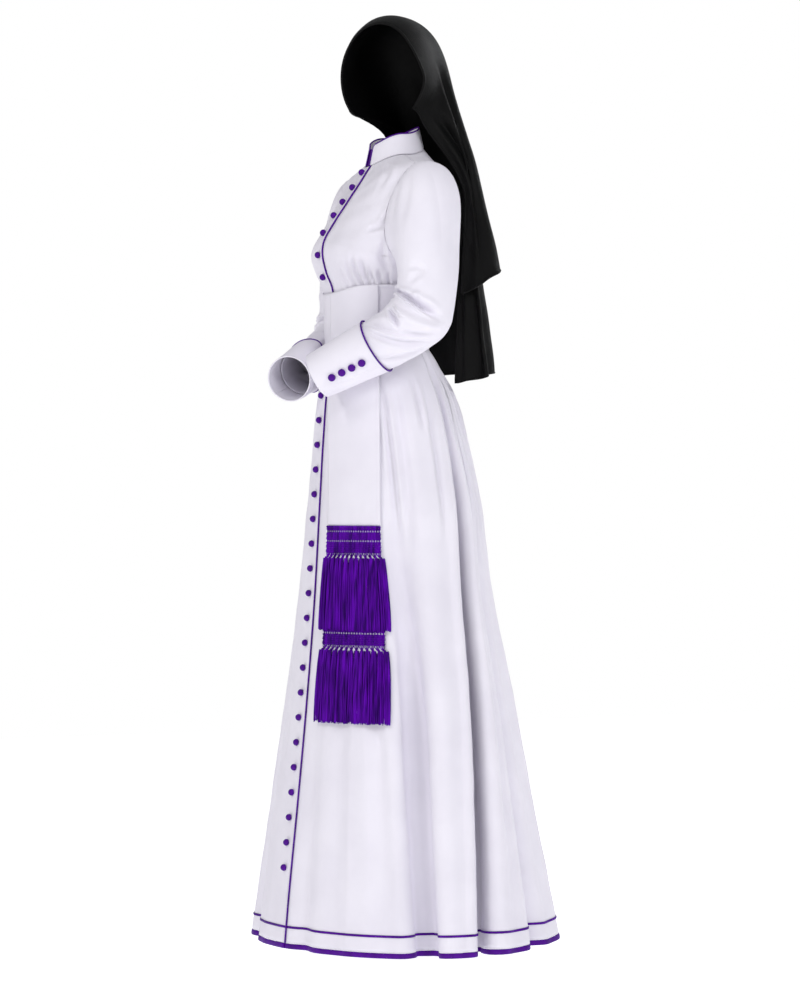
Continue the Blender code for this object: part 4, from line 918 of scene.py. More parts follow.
WAVE_COUNT = 9
WAVES = {
    # what: seed shortest longest upright height; upright 1 makes every wave a fold that runs along v
    "bodice": (11, 0.035, 0.12, 0.0, 0.0007),
    "skirt_folds": (21, 0.05, 0.15, 1.0, 0.0013),
    "skirt": (22, 0.05, 0.16, 0.0, 0.0005),
    "sleeve": (31, 0.05, 0.14, 0.0, 0.0008),
    "cuff": (41, 0.05, 0.12, 0.0, 0.0004),
    "collar": (51, 0.05, 0.12, 0.0, 0.0004),
    "sash_band": (61, 0.06, 0.20, 0.0, 0.0005),
    "sash_tail": (71, 0.06, 0.25, 0.6, 0.0002),
    "veil_outer": (91, 0.04, 0.12, 0.7, 0.0012),
    "veil_inner": (92, 0.04, 0.12, 0.7, 0.0012),
}


def waves(u, v, what):
    """Soft unevenness of a cloth over metres u and v."""
    seed, shortest, longest, upright, height = WAVES[what]
    draw = np.random.default_rng(seed)
    total = 0.0
    for _ in range(WAVE_COUNT):
        length = shortest * (longest / shortest) ** draw.random()
        turn = (draw.random() - 0.5) * math.pi * (1 - 0.93 * upright)
        phase = draw.random() * 2 * math.pi
        total = total + np.sin((u * math.cos(turn) + v * math.sin(turn)) * 2 * math.pi / length + phase)
    return height * total * 0.8 / math.sqrt(WAVE_COUNT)


def creases(u, v, rows, size):
    """Height of soft folds. A row is a fold's two ends, its bow, half width and height in metres,
    and how much steeper its one side is; a negative height is a trough. u and v are turned into
    metres by size. Each fades at its ends, and has a low shoulder on both sides."""
    u, v = np.asarray(u, float) * size[0], np.asarray(v, float) * size[1]
    total = np.zeros(np.broadcast(u, v).shape)
    for u0, v0, u1, v1, bow, half_width, height, lean in rows:
        u0, u1, v0, v1 = u0 * size[0], u1 * size[0], v0 * size[1], v1 * size[1]
        du, dv = u1 - u0, v1 - v0
        length = math.hypot(du, dv)
        t = ((u - u0) * du + (v - v0) * dv) / length**2
        across = ((v - v0) * du - (u - u0) * dv) / length - bow * 4 * t * (1 - t)
        fade = smooth_step(t / 0.35) * smooth_step((1 - t) / 0.35)
        x = across / (half_width * (0.7 + 0.3 * fade) * (1 + lean * np.tanh(across / half_width)))
        body = np.exp(-x * x) - 0.28 * np.exp(-((np.abs(x) - 1.9) ** 2) * 1.3)
        total += height * fade * body
    return total


def mirrored(rows, shift=0.0, grow=1.0):
    """The same folds on the other side of the body, moved a little."""
    return [
        (360 - start + shift, low, 360 - end + shift, high, -bow, half_width, height * grow, -lean)
        for start, low, end, high, bow, half_width, height, lean in rows
    ]


def whole_angle(angle):
    """The angles, with those below -20 taken as the same directions below 340."""
    return np.where(angle < -20, angle + 360, angle)


def seam_dip(distance, depth=0.0006, half_width=0.003):
    """A shallow groove along a seam or a row of stitches."""
    return -depth * np.exp(-((distance / half_width) ** 2))


BODICE_SIZE = (0.0024, 0.35)
BODICE_FOLDS_LEFT = [
    # angle share angle share bow half_width height lean: shoulder, bust point, then the gathers
    (50.0, 0.960, 43.0, 0.620, 0.003, 0.0120, -0.0024, 0.2),
    (73.0, 0.830, 50.0, 0.600, -0.003, 0.0120, -0.0026, 0.0),
    (60.0, 0.900, 52.0, 0.700, 0.002, 0.0090, 0.0010, 0.0),
    (46.0, 0.490, 62.0, 0.530, -0.001, 0.0034, -0.0050, 0.4),
    (56.0, 0.505, 69.0, 0.600, -0.002, 0.0065, -0.0062, 0.2),
    (7.0, 0.100, 15.5, 0.290, 0.002, 0.0042, -0.0020, 0.0),
    (21.0, 0.110, 24.0, 0.250, 0.001, 0.0032, -0.0022, 0.0),
    (32.5, 0.090, 30.5, 0.300, 0.001, 0.0038, -0.0042, 0.1),
    (44.5, 0.080, 38.5, 0.345, 0.003, 0.0044, -0.0060, 0.3),
    (53.5, 0.080, 43.0, 0.390, 0.004, 0.0048, -0.0071, 0.3),
    (61.0, 0.080, 51.5, 0.375, 0.004, 0.0048, -0.0071, 0.2),
    (67.0, 0.080, 58.0, 0.310, 0.003, 0.0040, -0.0057, 0.1),
    (73.5, 0.080, 66.5, 0.310, 0.002, 0.0040, -0.0057, 0.2),
    (79.0, 0.240, 64.5, 0.500, 0.003, 0.0068, -0.0064, 0.3),
    (82.5, 0.080, 75.5, 0.285, 0.002, 0.0036, -0.0049, 0.0),
    (67.0, 0.120, 64.5, 0.205, 0.000, 0.0018, -0.0034, 0.0),
    (72.5, 0.125, 73.8, 0.205, 0.000, 0.0016, -0.0038, 0.0),
    (78.5, 0.120, 79.0, 0.200, 0.000, 0.0017, -0.0034, 0.0),
    (84.0, 0.120, 83.0, 0.205, 0.000, 0.0016, -0.0034, 0.0),
    (88.0, 0.120, 86.0, 0.210, 0.000, 0.0018, -0.0031, 0.0),
]
BODICE_FOLDS_BACK = [
    # angle share angle share bow half_width height lean: the gathers, then long soft folds
    (101.0, 0.080, 108.0, 0.330, -0.003, 0.0044, -0.0028, 0.2),
    (112.0, 0.080, 117.0, 0.280, -0.002, 0.0036, -0.0022, 0.0),
    (121.0, 0.080, 130.0, 0.360, -0.003, 0.0046, -0.0030, 0.3),
    (133.0, 0.080, 138.0, 0.250, 0.001, 0.0034, -0.0020, 0.0),
    (146.0, 0.080, 151.0, 0.330, -0.002, 0.0040, -0.0022, 0.1),
    (158.0, 0.080, 158.0, 0.240, 0.000, 0.0032, -0.0018, 0.0),
    (171.0, 0.080, 168.0, 0.300, 0.001, 0.0038, -0.0022, 0.0),
    (187.0, 0.080, 190.0, 0.280, 0.001, 0.0036, -0.0020, 0.1),
    (199.0, 0.080, 195.0, 0.340, 0.002, 0.0042, -0.0024, 0.0),
    (212.0, 0.080, 207.0, 0.250, 0.001, 0.0034, -0.0020, 0.2),
    (226.0, 0.080, 219.0, 0.350, 0.003, 0.0045, -0.0028, 0.2),
    (238.0, 0.080, 234.0, 0.270, 0.001, 0.0036, -0.0020, 0.0),
    (251.0, 0.080, 245.0, 0.340, 0.003, 0.0044, -0.0028, 0.1),
    (262.0, 0.080, 258.0, 0.280, 0.002, 0.0036, -0.0024, 0.0),
    (122.0, 0.560, 152.0, 0.740, 0.006, 0.0090, -0.0022, 0.2),
    (236.0, 0.540, 209.0, 0.720, -0.006, 0.0090, -0.0022, 0.2),
    (141.0, 0.820, 172.0, 0.880, -0.003, 0.0060, -0.0014, 0.0),
    (216.0, 0.830, 190.0, 0.890, 0.003, 0.0060, -0.0014, 0.0),
]
BODICE_FOLDS = BODICE_FOLDS_LEFT + mirrored(BODICE_FOLDS_LEFT, 1.5, 0.9) + BODICE_FOLDS_BACK


def bodice_detail(angle, share):
    """How far the bodice's cloth stands off its smooth form."""
    angle, share = matched(angle, share)
    round_angle = whole_angle(angle)
    soft = waves(round_angle * BODICE_SIZE[0], share * BODICE_SIZE[1], "bodice")
    folds = creases(round_angle, share, BODICE_FOLDS, BODICE_SIZE)
    held = smooth_step((from_front(angle) - 4) / 12) * smooth_step((1 - share) / 0.06)
    sides = (np.abs(from_front(angle) - 90)) * BODICE_SIZE[0]
    above = smooth_step((share - 0.79) / 0.03) + smooth_step((0.41 - share) / 0.03)
    return (soft + folds) * held + seam_dip(sides) * above


SKIRT_SIZE = (0.0042, 1.09)
SKIRT_SOFT_FOLDS = [
    # angle share angle share bow half_width height lean
    (84.2, -0.10, 84.2, 1.30, 0.000, 0.0130, -0.0280, -0.25),
    (59.2, 0.34, 59.2, 1.30, 0.000, 0.0160, -0.0260, -0.45),
    (58.5, 0.04, 60.5, 0.95, 0.000, 0.0190, -0.0095, 0.0),
    (27.0, 0.30, 27.0, 1.20, 0.000, 0.018, -0.0041, 0.0),
    (46.0, 0.12, 47.5, 1.15, 0.004, 0.017, -0.0054, 0.2),
    (36.5, 0.55, 37.5, 1.25, 0.000, 0.020, 0.0034, 0.0),
    (70.5, 0.20, 71.0, 1.15, 0.004, 0.014, 0.0041, 0.0),
    (91.0, 0.35, 92.0, 1.20, 0.003, 0.020, 0.0054, 0.0),
    (99.0, 0.45, 100.0, 1.20, 0.000, 0.014, -0.0047, 0.2),
    (122.0, 0.30, 123.5, 1.20, 0.005, 0.018, -0.0054, 0.0),
    (150.0, 0.28, 152.0, 1.20, -0.004, 0.016, -0.0054, 0.1),
    (181.0, 0.34, 182.0, 1.20, 0.003, 0.018, -0.0061, 0.0),
    (213.0, 0.30, 212.0, 1.20, -0.004, 0.016, -0.0054, 0.2),
    (246.0, 0.32, 247.0, 1.20, 0.004, 0.017, -0.0061, 0.0),
    (281.0, 0.30, 283.0, 1.20, -0.003, 0.017, -0.0054, 0.1),
    (317.0, 0.45, 317.0, 1.20, 0.003, 0.018, -0.0041, 0.0),
    (346.0, 0.40, 345.5, 1.20, 0.000, 0.014, -0.0024, 0.0),
]


def small_gathers():
    """Short uneven gathers that hang from under the sash."""
    draw = np.random.default_rng(5)
    rows = []
    angle = 47.0
    while angle < 312:
        start = 0.035 + 0.02 * draw.random()
        end = 0.16 + 0.26 * draw.random() ** 1.5
        lean = 3.0 * (draw.random() - 0.5)
        wide = 0.0038 + 0.0032 * draw.random()
        deep = -0.0044 - 0.0060 * draw.random()
        rows.append((angle, start, angle + lean, end, 0.0, wide, deep, 0.3 * (draw.random() - 0.5)))
        angle += 3.6 + 3.4 * draw.random()
    return rows


SKIRT_GATHERS = small_gathers()
SKIRT_LEANS = (
    # fold, degrees from it, half width in degrees, shift in metres, share where it starts
    (57.6, 3.6, 3.4, 0.0130, 0.30),
    (84.0, 0.0, 6.5, -0.0150, -0.10),
    (84.0, -4.0, 2.4, -0.0030, 0.12),
    (111.6, -4.6, 2.6, 0.0080, 0.35),
)


def skirt_lean(angle, share):
    """How far the cloth is shifted along the skirt, in metres: a ridge's lip hangs over its valley."""
    total = 0.0
    for fold, lip, wide, shift, start in SKIRT_LEANS:
        grown = smooth_step((np.asarray(share) - start) / 0.5)
        away = (np.asarray(angle, float) % 360 - fold - lip) / wide
        total = total + shift * grown * np.exp(-(away**2))
    return total


def skirt_detail(angle, share):
    """How far the skirt's cloth stands off its smooth form."""
    angle, share = matched(angle, share)
    round_angle = whole_angle(angle)
    u, v = round_angle * SKIRT_SIZE[0], share * SKIRT_SIZE[1]
    soft = waves(u, v, "skirt_folds") * smooth_step((share - 0.15) / 0.4) + waves(u, v, "skirt")
    folds = creases(round_angle, share, SKIRT_SOFT_FOLDS, SKIRT_SIZE)
    gathers = creases(round_angle, share, SKIRT_GATHERS, SKIRT_SIZE)
    held = smooth_step((from_front(angle) - 4) / 12)
    seams = 0.0
    for seam in SIDE_SEAMS:
        seams = seams + seam_dip((round_angle - seam) * SKIRT_SIZE[0], 0.0008)
    low = np.where(from_front(angle - 41) < 22, np.minimum(soft + folds, 0.0018), soft + folds)
    return (low + gathers) * held + seams


SLEEVE_SIZE = (0.00085, 0.30)
SLEEVE_FOLDS = {
    # around share around share bow half_width height lean
    "left": [
        (112.0, 0.185, -26.0, 0.240, -0.0040, 0.0050, -0.0190, 0.4),
        (88.0, 0.335, -44.0, 0.250, -0.0060, 0.0085, 0.0085, 0.0),
        (96.0, 0.372, 30.0, 0.405, 0.0030, 0.0050, -0.0120, 0.2),
        (104.0, 0.590, -54.0, 0.270, 0.0060, 0.0066, -0.0112, 0.3),
        (80.0, 0.590, -68.0, 0.310, 0.0060, 0.0066, -0.0098, 0.2),
        (6.0, 0.610, -68.0, 0.330, 0.0050, 0.0066, -0.0070, 0.0),
        (88.0, 0.322, 36.0, 0.345, -0.0015, 0.0034, -0.0066, 0.0),
        (50.0, 0.215, 36.0, 0.150, 0.0010, 0.0040, 0.0034, 0.0),
        (68.0, 0.010, 30.0, 0.060, 0.0040, 0.0066, -0.0034, 0.0),
        (64.0, 0.120, 36.0, 0.050, 0.0030, 0.0058, -0.0032, 0.1),
        (132.0, 0.215, 84.0, 0.175, 0.0020, 0.0050, -0.0125, 0.2),
        (172.0, 0.300, 104.0, 0.240, -0.0040, 0.0055, -0.0095, 0.2),
        (180.0, 0.420, 110.0, 0.340, 0.0040, 0.0055, -0.0085, 0.0),
        (176.0, 0.560, 112.0, 0.450, 0.0040, 0.0055, -0.0070, 0.1),
        (-60.0, 0.180, -130.0, 0.240, 0.0040, 0.0075, -0.0048, 0.0),
        (-72.0, 0.330, -140.0, 0.360, 0.0050, 0.0075, -0.0052, 0.2),
        (-84.0, 0.470, -150.0, 0.520, 0.0030, 0.0065, -0.0048, 0.0),
    ],
}
SLEEVE_FOLDS["right"] = [
    (start, low + 0.03, end, high + 0.02, bow, half_width * 1.05, height * 0.9, lean)
    for start, low, end, high, bow, half_width, height, lean in SLEEVE_FOLDS["left"]
]
ELBOW_POINT = {
    "around": -64.0,
    "half_angle": 40,
    "share": 0.27,
    "half_share": 0.10,
    "height": 0.0105,
}


def sleeve_detail(side, share, around):
    """How far the sleeve's cloth stands off its smooth form below the upper-arm ring."""
    share, around = matched(share, around)
    total = np.zeros(share.shape)
    for turn in (-360, 0, 360):
        total += creases(around + turn, share, SLEEVE_FOLDS[side], SLEEVE_SIZE)
    a = np.radians(around)
    soft = waves(np.cos(a) * 0.05, share * 0.3 + np.sin(a) * 0.05, "sleeve")
    inside_cuff = 1 - (CUFF_LENGTH - 0.004) / arm_length(side)
    turned_by = (around - ELBOW_POINT["around"] + 180) % 360 - 180
    elbow = ELBOW_POINT["height"] * np.exp(-((turned_by / ELBOW_POINT["half_angle"]) ** 2))
    elbow = elbow * np.exp(-(((share - ELBOW_POINT["share"]) / ELBOW_POINT["half_share"]) ** 2))
    total = total + elbow * smooth_step(share / 0.10)
    return (total + soft) * smooth_step((inside_cuff - share) / 0.05)


CAP_SIZE = (0.0009, 0.09)
CAP_FOLDS = [
    # around share around share bow half_width height lean
    (30.0, 0.15, 80.0, 0.60, 0.004, 0.0060, -0.0022, 0.0),
    (52.0, 0.10, 96.0, 0.45, -0.003, 0.0050, -0.0018, 0.2),
    (6.0, 0.20, -2.0, 0.95, 0.002, 0.0075, -0.0012, 0.0),
    (-38.0, 0.12, -70.0, 0.60, 0.004, 0.0065, -0.0020, 0.0),
    (-80.0, 0.10, -105.0, 0.50, 0.003, 0.0055, -0.0018, 0.1),
]
CAP_PUFF = {"around": -40.0, "half_angle": 34, "height": 0.0125}


def cap_detail(share, around):
    """The top of the sleeve: small gathers eased into the armhole, and soft folds below."""
    share, around = matched(share, around)
    a = np.radians(around)
    crown = smooth_step((np.cos(a) + 0.2) / 0.6)
    ease = np.sin(around * 0.42 + 1.3 * np.sin(a * 3)) * np.exp(-((share - 0.05) / 0.09) ** 2)
    soft = waves(np.cos(a) * 0.05, (share - 1) * 0.1 + np.sin(a) * 0.05, "sleeve")
    folds = creases(around, share, CAP_FOLDS, CAP_SIZE)
    turned_by = (around - CAP_PUFF["around"] + 180) % 360 - 180
    puff = CAP_PUFF["height"] * np.exp(-((turned_by / CAP_PUFF["half_angle"]) ** 2))
    folds = folds + puff * smooth_step(share / 0.22) * smooth_step((0.86 - share) / 0.52)
    gathers = 0.0008 * ease * crown * smooth_step(share / 0.03)
    return gathers + (soft + folds) * smooth_step(share / 0.12)


# ---------------------------------------------------------------- making pieces

SHADES = {}  # materials by name
PIECES = {}  # objects by name

CLOTHS = (
    {
        "name": "white_cloth",
        "dark": (0.775, 0.752, 0.830),
        "light": (0.825, 0.803, 0.878),
        "roughness": 0.78,
        "twill": 0.0008,
        "weave_depth": 0.00007,
        "fuzz": 0.004,
        "fuzz_depth": 0.00012,
        "patch": 0.09,
        "sheen": (0.10, 0.45, (0.95, 0.94, 1.0)),
        "specular": 0.3,
    },
    {
        "name": "violet_trim",
        "dark": (0.056, 0.0012, 0.190),
        "light": (0.090, 0.0022, 0.300),
        "roughness": 0.55,
        "twill": 0.0006,
        "weave_depth": 0.00005,
        "fuzz": 0.003,
        "fuzz_depth": 0.00006,
        "patch": 0.02,
        "sheen": (0.0, 0.40, (0.60, 0.35, 1.0)),
        "specular": 0.15,
    },
    {
        "name": "black_cloth",
        "dark": (0.0008, 0.0008, 0.0009),
        "light": (0.0014, 0.0014, 0.0015),
        "roughness": 0.50,
        "twill": 0.0007,
        "weave_depth": 0.00008,
        "fuzz": 0.003,
        "fuzz_depth": 0.00014,
        "patch": 0.09,
        "sheen": (0.02, 0.36, (0.75, 0.76, 0.80)),
        "specular": 0.13,
    },
)
YARN = {
    "colour": (0.075, 0.001, 0.26),
    "dark": (0.034, 0.0004, 0.140),
    "light": (0.125, 0.0012, 0.430),
    "roughness": 0.75,
    "twist": 0.0022,
    "twist_depth": 0.00016,
    "streak": 0.0060,
    "stretch": 0.07,
    "specular": 0.10,
}


def solid_shader(name, colour, roughness):
    made = bpy.data.materials.new(name)
    made.use_nodes = True
    shader = made.node_tree.nodes["Principled BSDF"]
    shader.inputs["Base Color"].default_value = (*colour, 1.0)
    shader.inputs["Roughness"].default_value = roughness
    SHADES[name] = made
    return made.node_tree, shader


def node(tree, kind, **sockets):
    made = tree.nodes.new(kind)
    for name, value in sockets.items():
        made.inputs[name.replace("_", " ")].default_value = value
    return made


def factor_of(made):
    return made.outputs["Factor" if "Factor" in made.outputs else "Fac"]


def wave_of(tree, coordinates, pitch, direction, distortion=0.0):
    """Bands across the cloth, pitch metres apart."""
    made = node(tree, "ShaderNodeTexWave", Scale=math.pi / 10 / pitch, Distortion=distortion)
    made.bands_direction = direction
    made.inputs["Detail"].default_value = 0.0
    tree.links.new(coordinates, made.inputs["Vector"])
    return factor_of(made)


def noise_of(tree, coordinates, size, detail=2.0):
    made = node(tree, "ShaderNodeTexNoise", Scale=1.0 / size, Detail=detail)
    tree.links.new(coordinates, made.inputs["Vector"])
    return factor_of(made)


def math_of(tree, how, first, second):
    made = tree.nodes.new("ShaderNodeMath")
    made.operation = how
    for socket, value in zip(made.inputs, (first, second)):
        if isinstance(value, float):
            socket.default_value = value
        else:
            tree.links.new(value, socket)
    return made.outputs[0]


def bumped(tree, shader, height, distance, strength):
    made = node(tree, "ShaderNodeBump", Strength=strength, Distance=distance)
    tree.links.new(height, made.inputs["Height"])
    tree.links.new(made.outputs["Normal"], shader.inputs["Normal"])


def mixed_colour(tree, shader, factor, dark, light):
    ramp = tree.nodes.new("ShaderNodeValToRGB")
    for stop, colour, position in zip(ramp.color_ramp.elements, (dark, light), (0.32, 0.68)):
        stop.color = (*colour, 1.0)
        stop.position = position
    tree.links.new(factor, ramp.inputs["Fac"])
    tree.links.new(ramp.outputs["Color"], shader.inputs["Base Color"])


def woven(name, dark, light, roughness, twill, weave_depth, fuzz, fuzz_depth, patch, sheen, specular):
    """Cloth: a twill of fine diagonal ribs over its threads, a slight unevenness, and a sheen."""
    tree, shader = solid_shader(name, light, roughness)
    where = tree.nodes.new("ShaderNodeTexCoord")
    uv, place = where.outputs["UV"], where.outputs["Object"]
    ribs = wave_of(tree, uv, twill, "DIAGONAL", 0.4)
    threads = wave_of(tree, uv, twill * 0.55, "Y", 0.2)
    weave = math_of(tree, "ADD", ribs, math_of(tree, "MULTIPLY", threads, 0.4))
    rough = noise_of(tree, place, fuzz)
    height = math_of(tree, "ADD", weave, math_of(tree, "MULTIPLY", rough, fuzz_depth / weave_depth))
    bumped(tree, shader, height, weave_depth, 0.9)
    mixed_colour(tree, shader, noise_of(tree, place, patch, 3.0), dark, light)
    weight, sheen_roughness, tint = sheen
    shader.inputs["Sheen Weight"].default_value = weight
    shader.inputs["Sheen Roughness"].default_value = sheen_roughness
    shader.inputs["Sheen Tint"].default_value = (*tint, 1.0)
    shader.inputs["Specular IOR Level"].default_value = specular


def yarn():
    """The fringe's twisted threads, streaked along their length."""
    tree, shader = solid_shader("violet_fringe", YARN["colour"], YARN["roughness"])
    where = tree.nodes.new("ShaderNodeTexCoord")
    twist = wave_of(tree, where.outputs["UV"], YARN["twist"], "DIAGONAL", 0.3)
    bumped(tree, shader, twist, YARN["twist_depth"], 0.8)
    long_way = node(tree, "ShaderNodeMapping", Scale=(1.0, 1.0, YARN["stretch"]))
    tree.links.new(where.outputs["Object"], long_way.inputs["Vector"])
    streaks = noise_of(tree, long_way.outputs["Vector"], YARN["streak"], 1.0)
    mixed_colour(tree, shader, streaks, YARN["dark"], YARN["light"])
    shader.inputs["Specular IOR Level"].default_value = YARN["specular"]


def make_materials():
    for cloth in CLOTHS:
        woven(**cloth)
    yarn()


def grid_faces(rows, columns, closed):
    r = np.arange(rows - 1)[:, None] * columns
    c = np.arange(columns if closed else columns - 1)[None]
    d = (c + 1) % columns
    return np.stack([r + c, r + d, r + columns + d, r + columns + c], -1).reshape(-1, 4)


def mesh_of(name, points, faces, uvs):
    """A smooth-shaded mesh of quads; uvs holds a pair for each corner of each face."""
    data = bpy.data.meshes.new(name)
    data.from_pydata(points.tolist(), [], faces.tolist())
    layer = data.uv_layers.new(name="UVMap")
    layer.data.foreach_set("uv", uvs.reshape(-1).astype(np.float32))
    data.shade_smooth()
    data.validate()
    return data


def grid_uvs(points, closed):
    """Corner UVs in metres over the cloth, from the middle of each row."""
    if closed:
        points = np.concatenate([points, points[:, :1]], 1)
    across = np.linalg.norm(np.diff(points, axis=1), axis=-1)
    u = np.concatenate([np.zeros((len(points), 1)), np.cumsum(across, 1)], 1)
    u = u - u[:, -1:] / 2
    down = np.linalg.norm(np.diff(points, axis=0), axis=-1)
    v = np.concatenate([np.zeros((1, points.shape[1])), np.cumsum(down, 0)], 0)
    uv = np.stack([u, v], -1)
    corners = [uv[:-1, :-1], uv[:-1, 1:], uv[1:, 1:], uv[1:, :-1]]
    return np.stack(corners, 2).reshape(-1, 2)


def finish_piece(name, data, slot, nodes=()):
    data.materials.append(SHADES[slot])
    made = bpy.data.objects.new(name, data)
    bpy.context.scene.collection.objects.link(made)
    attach(made, "root")
    if nodes:
        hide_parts(*nodes)
    PIECES[name] = made
    return made


def sheet_piece(name, points, slot, wall, nodes=(), closed=False, flip=False):
    """A cloth piece over a grid of points on its outer face, thickened inwards."""
    if flip:
        points = points[::-1]
    rows, columns = points.shape[:2]
    faces = grid_faces(rows, columns, closed)
    data = mesh_of(name, points.reshape(-1, 3), faces, grid_uvs(points, closed))
    made = finish_piece(name, data, slot, nodes)
    thick = made.modifiers.new("wall", "SOLIDIFY")
    thick.thickness = wall
    thick.offset = -1.0
    thick.use_even_offset = False
    return made


def tube_parts(lines, radius, sides, closed=False):
    """Points, faces and corner UVs of round cords along lines of points: an array of cords by
    points by 3. radius is one number, or one for each cord and point."""
    lines = np.asarray(lines, float)
    count, length = lines.shape[:2]
    radius = np.broadcast_to(np.asarray(radius, float), (count, length))
    if closed:
        along = np.roll(lines, -1, 1) - np.roll(lines, 1, 1)
    else:
        along = np.gradient(lines, axis=1)
    along = unit(along)
    up = np.zeros_like(lines)
    start = np.where(np.abs(along[:, 0, 2:]) < 0.8, (0.0, 0.0, 1.0), (1.0, 0.0, 0.0))
    up[:, 0] = unit(start - along[:, 0] * (start * along[:, 0]).sum(-1, keepdims=True))
    for i in range(1, length):
        carried = up[:, i - 1] - along[:, i] * (up[:, i - 1] * along[:, i]).sum(-1, keepdims=True)
        up[:, i] = unit(carried)
    side = np.cross(along, up)
    a = np.arange(sides) * 2 * math.pi / sides
    ring = up[:, :, None] * np.cos(a)[:, None] + side[:, :, None] * np.sin(a)[:, None]
    points = lines[:, :, None] + ring * radius[:, :, None, None]
    faces = grid_faces(length + (1 if closed else 0), sides, True)
    if closed:
        faces = faces % (length * sides)
    faces = faces[None] + (np.arange(count) * length * sides)[:, None, None]
    run = np.cumsum(np.linalg.norm(np.diff(lines[0], axis=0), axis=-1))
    v = np.concatenate([[0.0], run, [run[-1] * 2 - (run[-2] if len(run) > 1 else 0)]])
    v = v[: length + (1 if closed else 0)]
    u = np.arange(sides + 1) * (2 * math.pi * radius.mean() / sides)
    uv = np.stack(np.broadcast_arrays(u[None], v[:, None]), -1)
    corners = np.stack([uv[:-1, :-1], uv[:-1, 1:], uv[1:, 1:], uv[1:, :-1]], 2).reshape(-1, 2)
    uvs = np.broadcast_to(corners, (count,) + corners.shape).reshape(-1, 2)
    return points.reshape(-1, 3), faces.reshape(-1, 4), uvs


def joined(parts):
    points, faces, uvs, first = [], [], [], 0
    for p, f, u in parts:
        points.append(p)
        faces.append(f + first)
        uvs.append(u)
        first += len(p)
    return np.concatenate(points), np.concatenate(faces), np.concatenate(uvs)


def rounded_ends(line, radius):
    """A cord's points and radii with a small round end added at both ends."""
    line = np.asarray(line, float)
    ends = []
    for tip, inner in ((line[0], line[1]), (line[-1], line[-2])):
        out = unit(tip - inner)
        ends.append([tip + out * radius * k for k in (0.5, 0.85, 1.0)])
    points = np.concatenate([ends[0][::-1], line, ends[1]])
    radii = np.full(len(points), radius)
    radii[[0, 1, 2, -3, -2, -1]] = np.array([0.05, 0.5, 0.87, 0.87, 0.5, 0.05]) * radius
    return points, radii


def cord_piece(name, line, radius, slot, nodes=(), closed=False, sides=10):
    line = np.asarray(line, float)
    radii = radius
    if not closed:
        line, radii = rounded_ends(line, radius)
    parts = tube_parts(line[None], radii, sides, closed)
    return finish_piece(name, mesh_of(name, *parts), slot, nodes)


def run_along(line):
    """The distance from a line's start to each of its points."""
    return np.concatenate([[0], np.cumsum(np.linalg.norm(np.diff(line, axis=0), axis=-1))])


def even_line(points, step):
    """The same path with points step apart."""
    points = np.asarray(points, float)
    run = run_along(points)
    at = np.linspace(0, run[-1], max(2, int(round(run[-1] / step)) + 1))
    return np.stack([np.interp(at, run, points[:, k]) for k in range(3)], -1)


STITCH = {"pitch": 0.0034, "length": 0.0025, "radius": 0.00024}
STITCH_FORM = (
    # along, in half lengths, and rise, in radii
    (-1.0, -0.5),
    (-0.5, 0.5),
    (0.5, 0.5),
    (1.0, -0.5),
)


def stitch_piece(name, lines, outs):
    """Rows of stitches along lines of points on the cloth; outs are the cloth's directions."""
    starts = []
    for line, out in zip(lines, outs):
        line = np.asarray(line, float)
        run = run_along(line)
        at = np.arange(STITCH["pitch"] / 2, run[-1] - STITCH["pitch"] / 2, STITCH["pitch"])
        knots = []
        for along, rise in STITCH_FORM:
            offset = along * STITCH["length"] / 2
            where = [np.interp(at + offset, run, line[:, k]) for k in range(3)]
            lifted = [np.interp(at + offset, run, out[:, k]) for k in range(3)]
            knots.append(np.stack(where, -1) + np.stack(lifted, -1) * STITCH["radius"] * rise)
        starts.append(np.stack(knots, 1))
    parts = tube_parts(np.concatenate(starts), STITCH["radius"], 4)
    return finish_piece(name, mesh_of(name, *parts), "white_cloth")


# ---------------------------------------------------------------- skirt and bodice


SKIRT_ROWS = 168
SKIRT_SPACING = 1.15  # degrees between two columns
SEAM_HALF_GAP = 0.02  # degrees
EDGE_REACH = 14.0  # degrees over which a panel's columns follow its moved edge


def fine_columns(start, end):
    return fold_columns(start, end, SKIRT_SPACING)


def panel_angles(columns, start, end, share):
    """A panel's column angles in one row: seams keep their place and front edges stand upright."""
    first, last = columns[0], columns[-1]
    new_first, new_last = first + SEAM_HALF_GAP, last - SEAM_HALF_GAP
    edge = front_edge(straight_skirt, share, OVERLAP_EDGE, OVERLAP_FLARE)[0]
    if start is None:
        new_first = front_edge(straight_skirt, share, UNDERLAP_EDGE)[0]
    if end is None:
        new_last = 360 + edge
    near_last = np.clip(1 - (last - columns) / EDGE_REACH, 0, 1)
    shift = near_last * (new_last - last)
    if start is not None:
        near_first = np.clip(1 - (columns - first) / EDGE_REACH, 0, 1)
        return columns + shift + near_first * (new_first - first)
    past = OVERLAP_EDGE + 2 * PIPING_RADIUS + 2.5 * SEAM_GAP
    past_piping = front_edge(straight_skirt, share, past, OVERLAP_FLARE)[0]
    hidden = np.array([FRONT_START, *LAP_COLUMNS])
    near_first = np.clip(1 - (columns - hidden[2]) / EDGE_REACH, 0, 1)
    angles = columns + shift + near_first * (past_piping - hidden[2])
    under = columns <= hidden[2]
    angles[under] = np.interp(columns[under], hidden, (new_first, edge - 0.3, past_piping))
    return angles


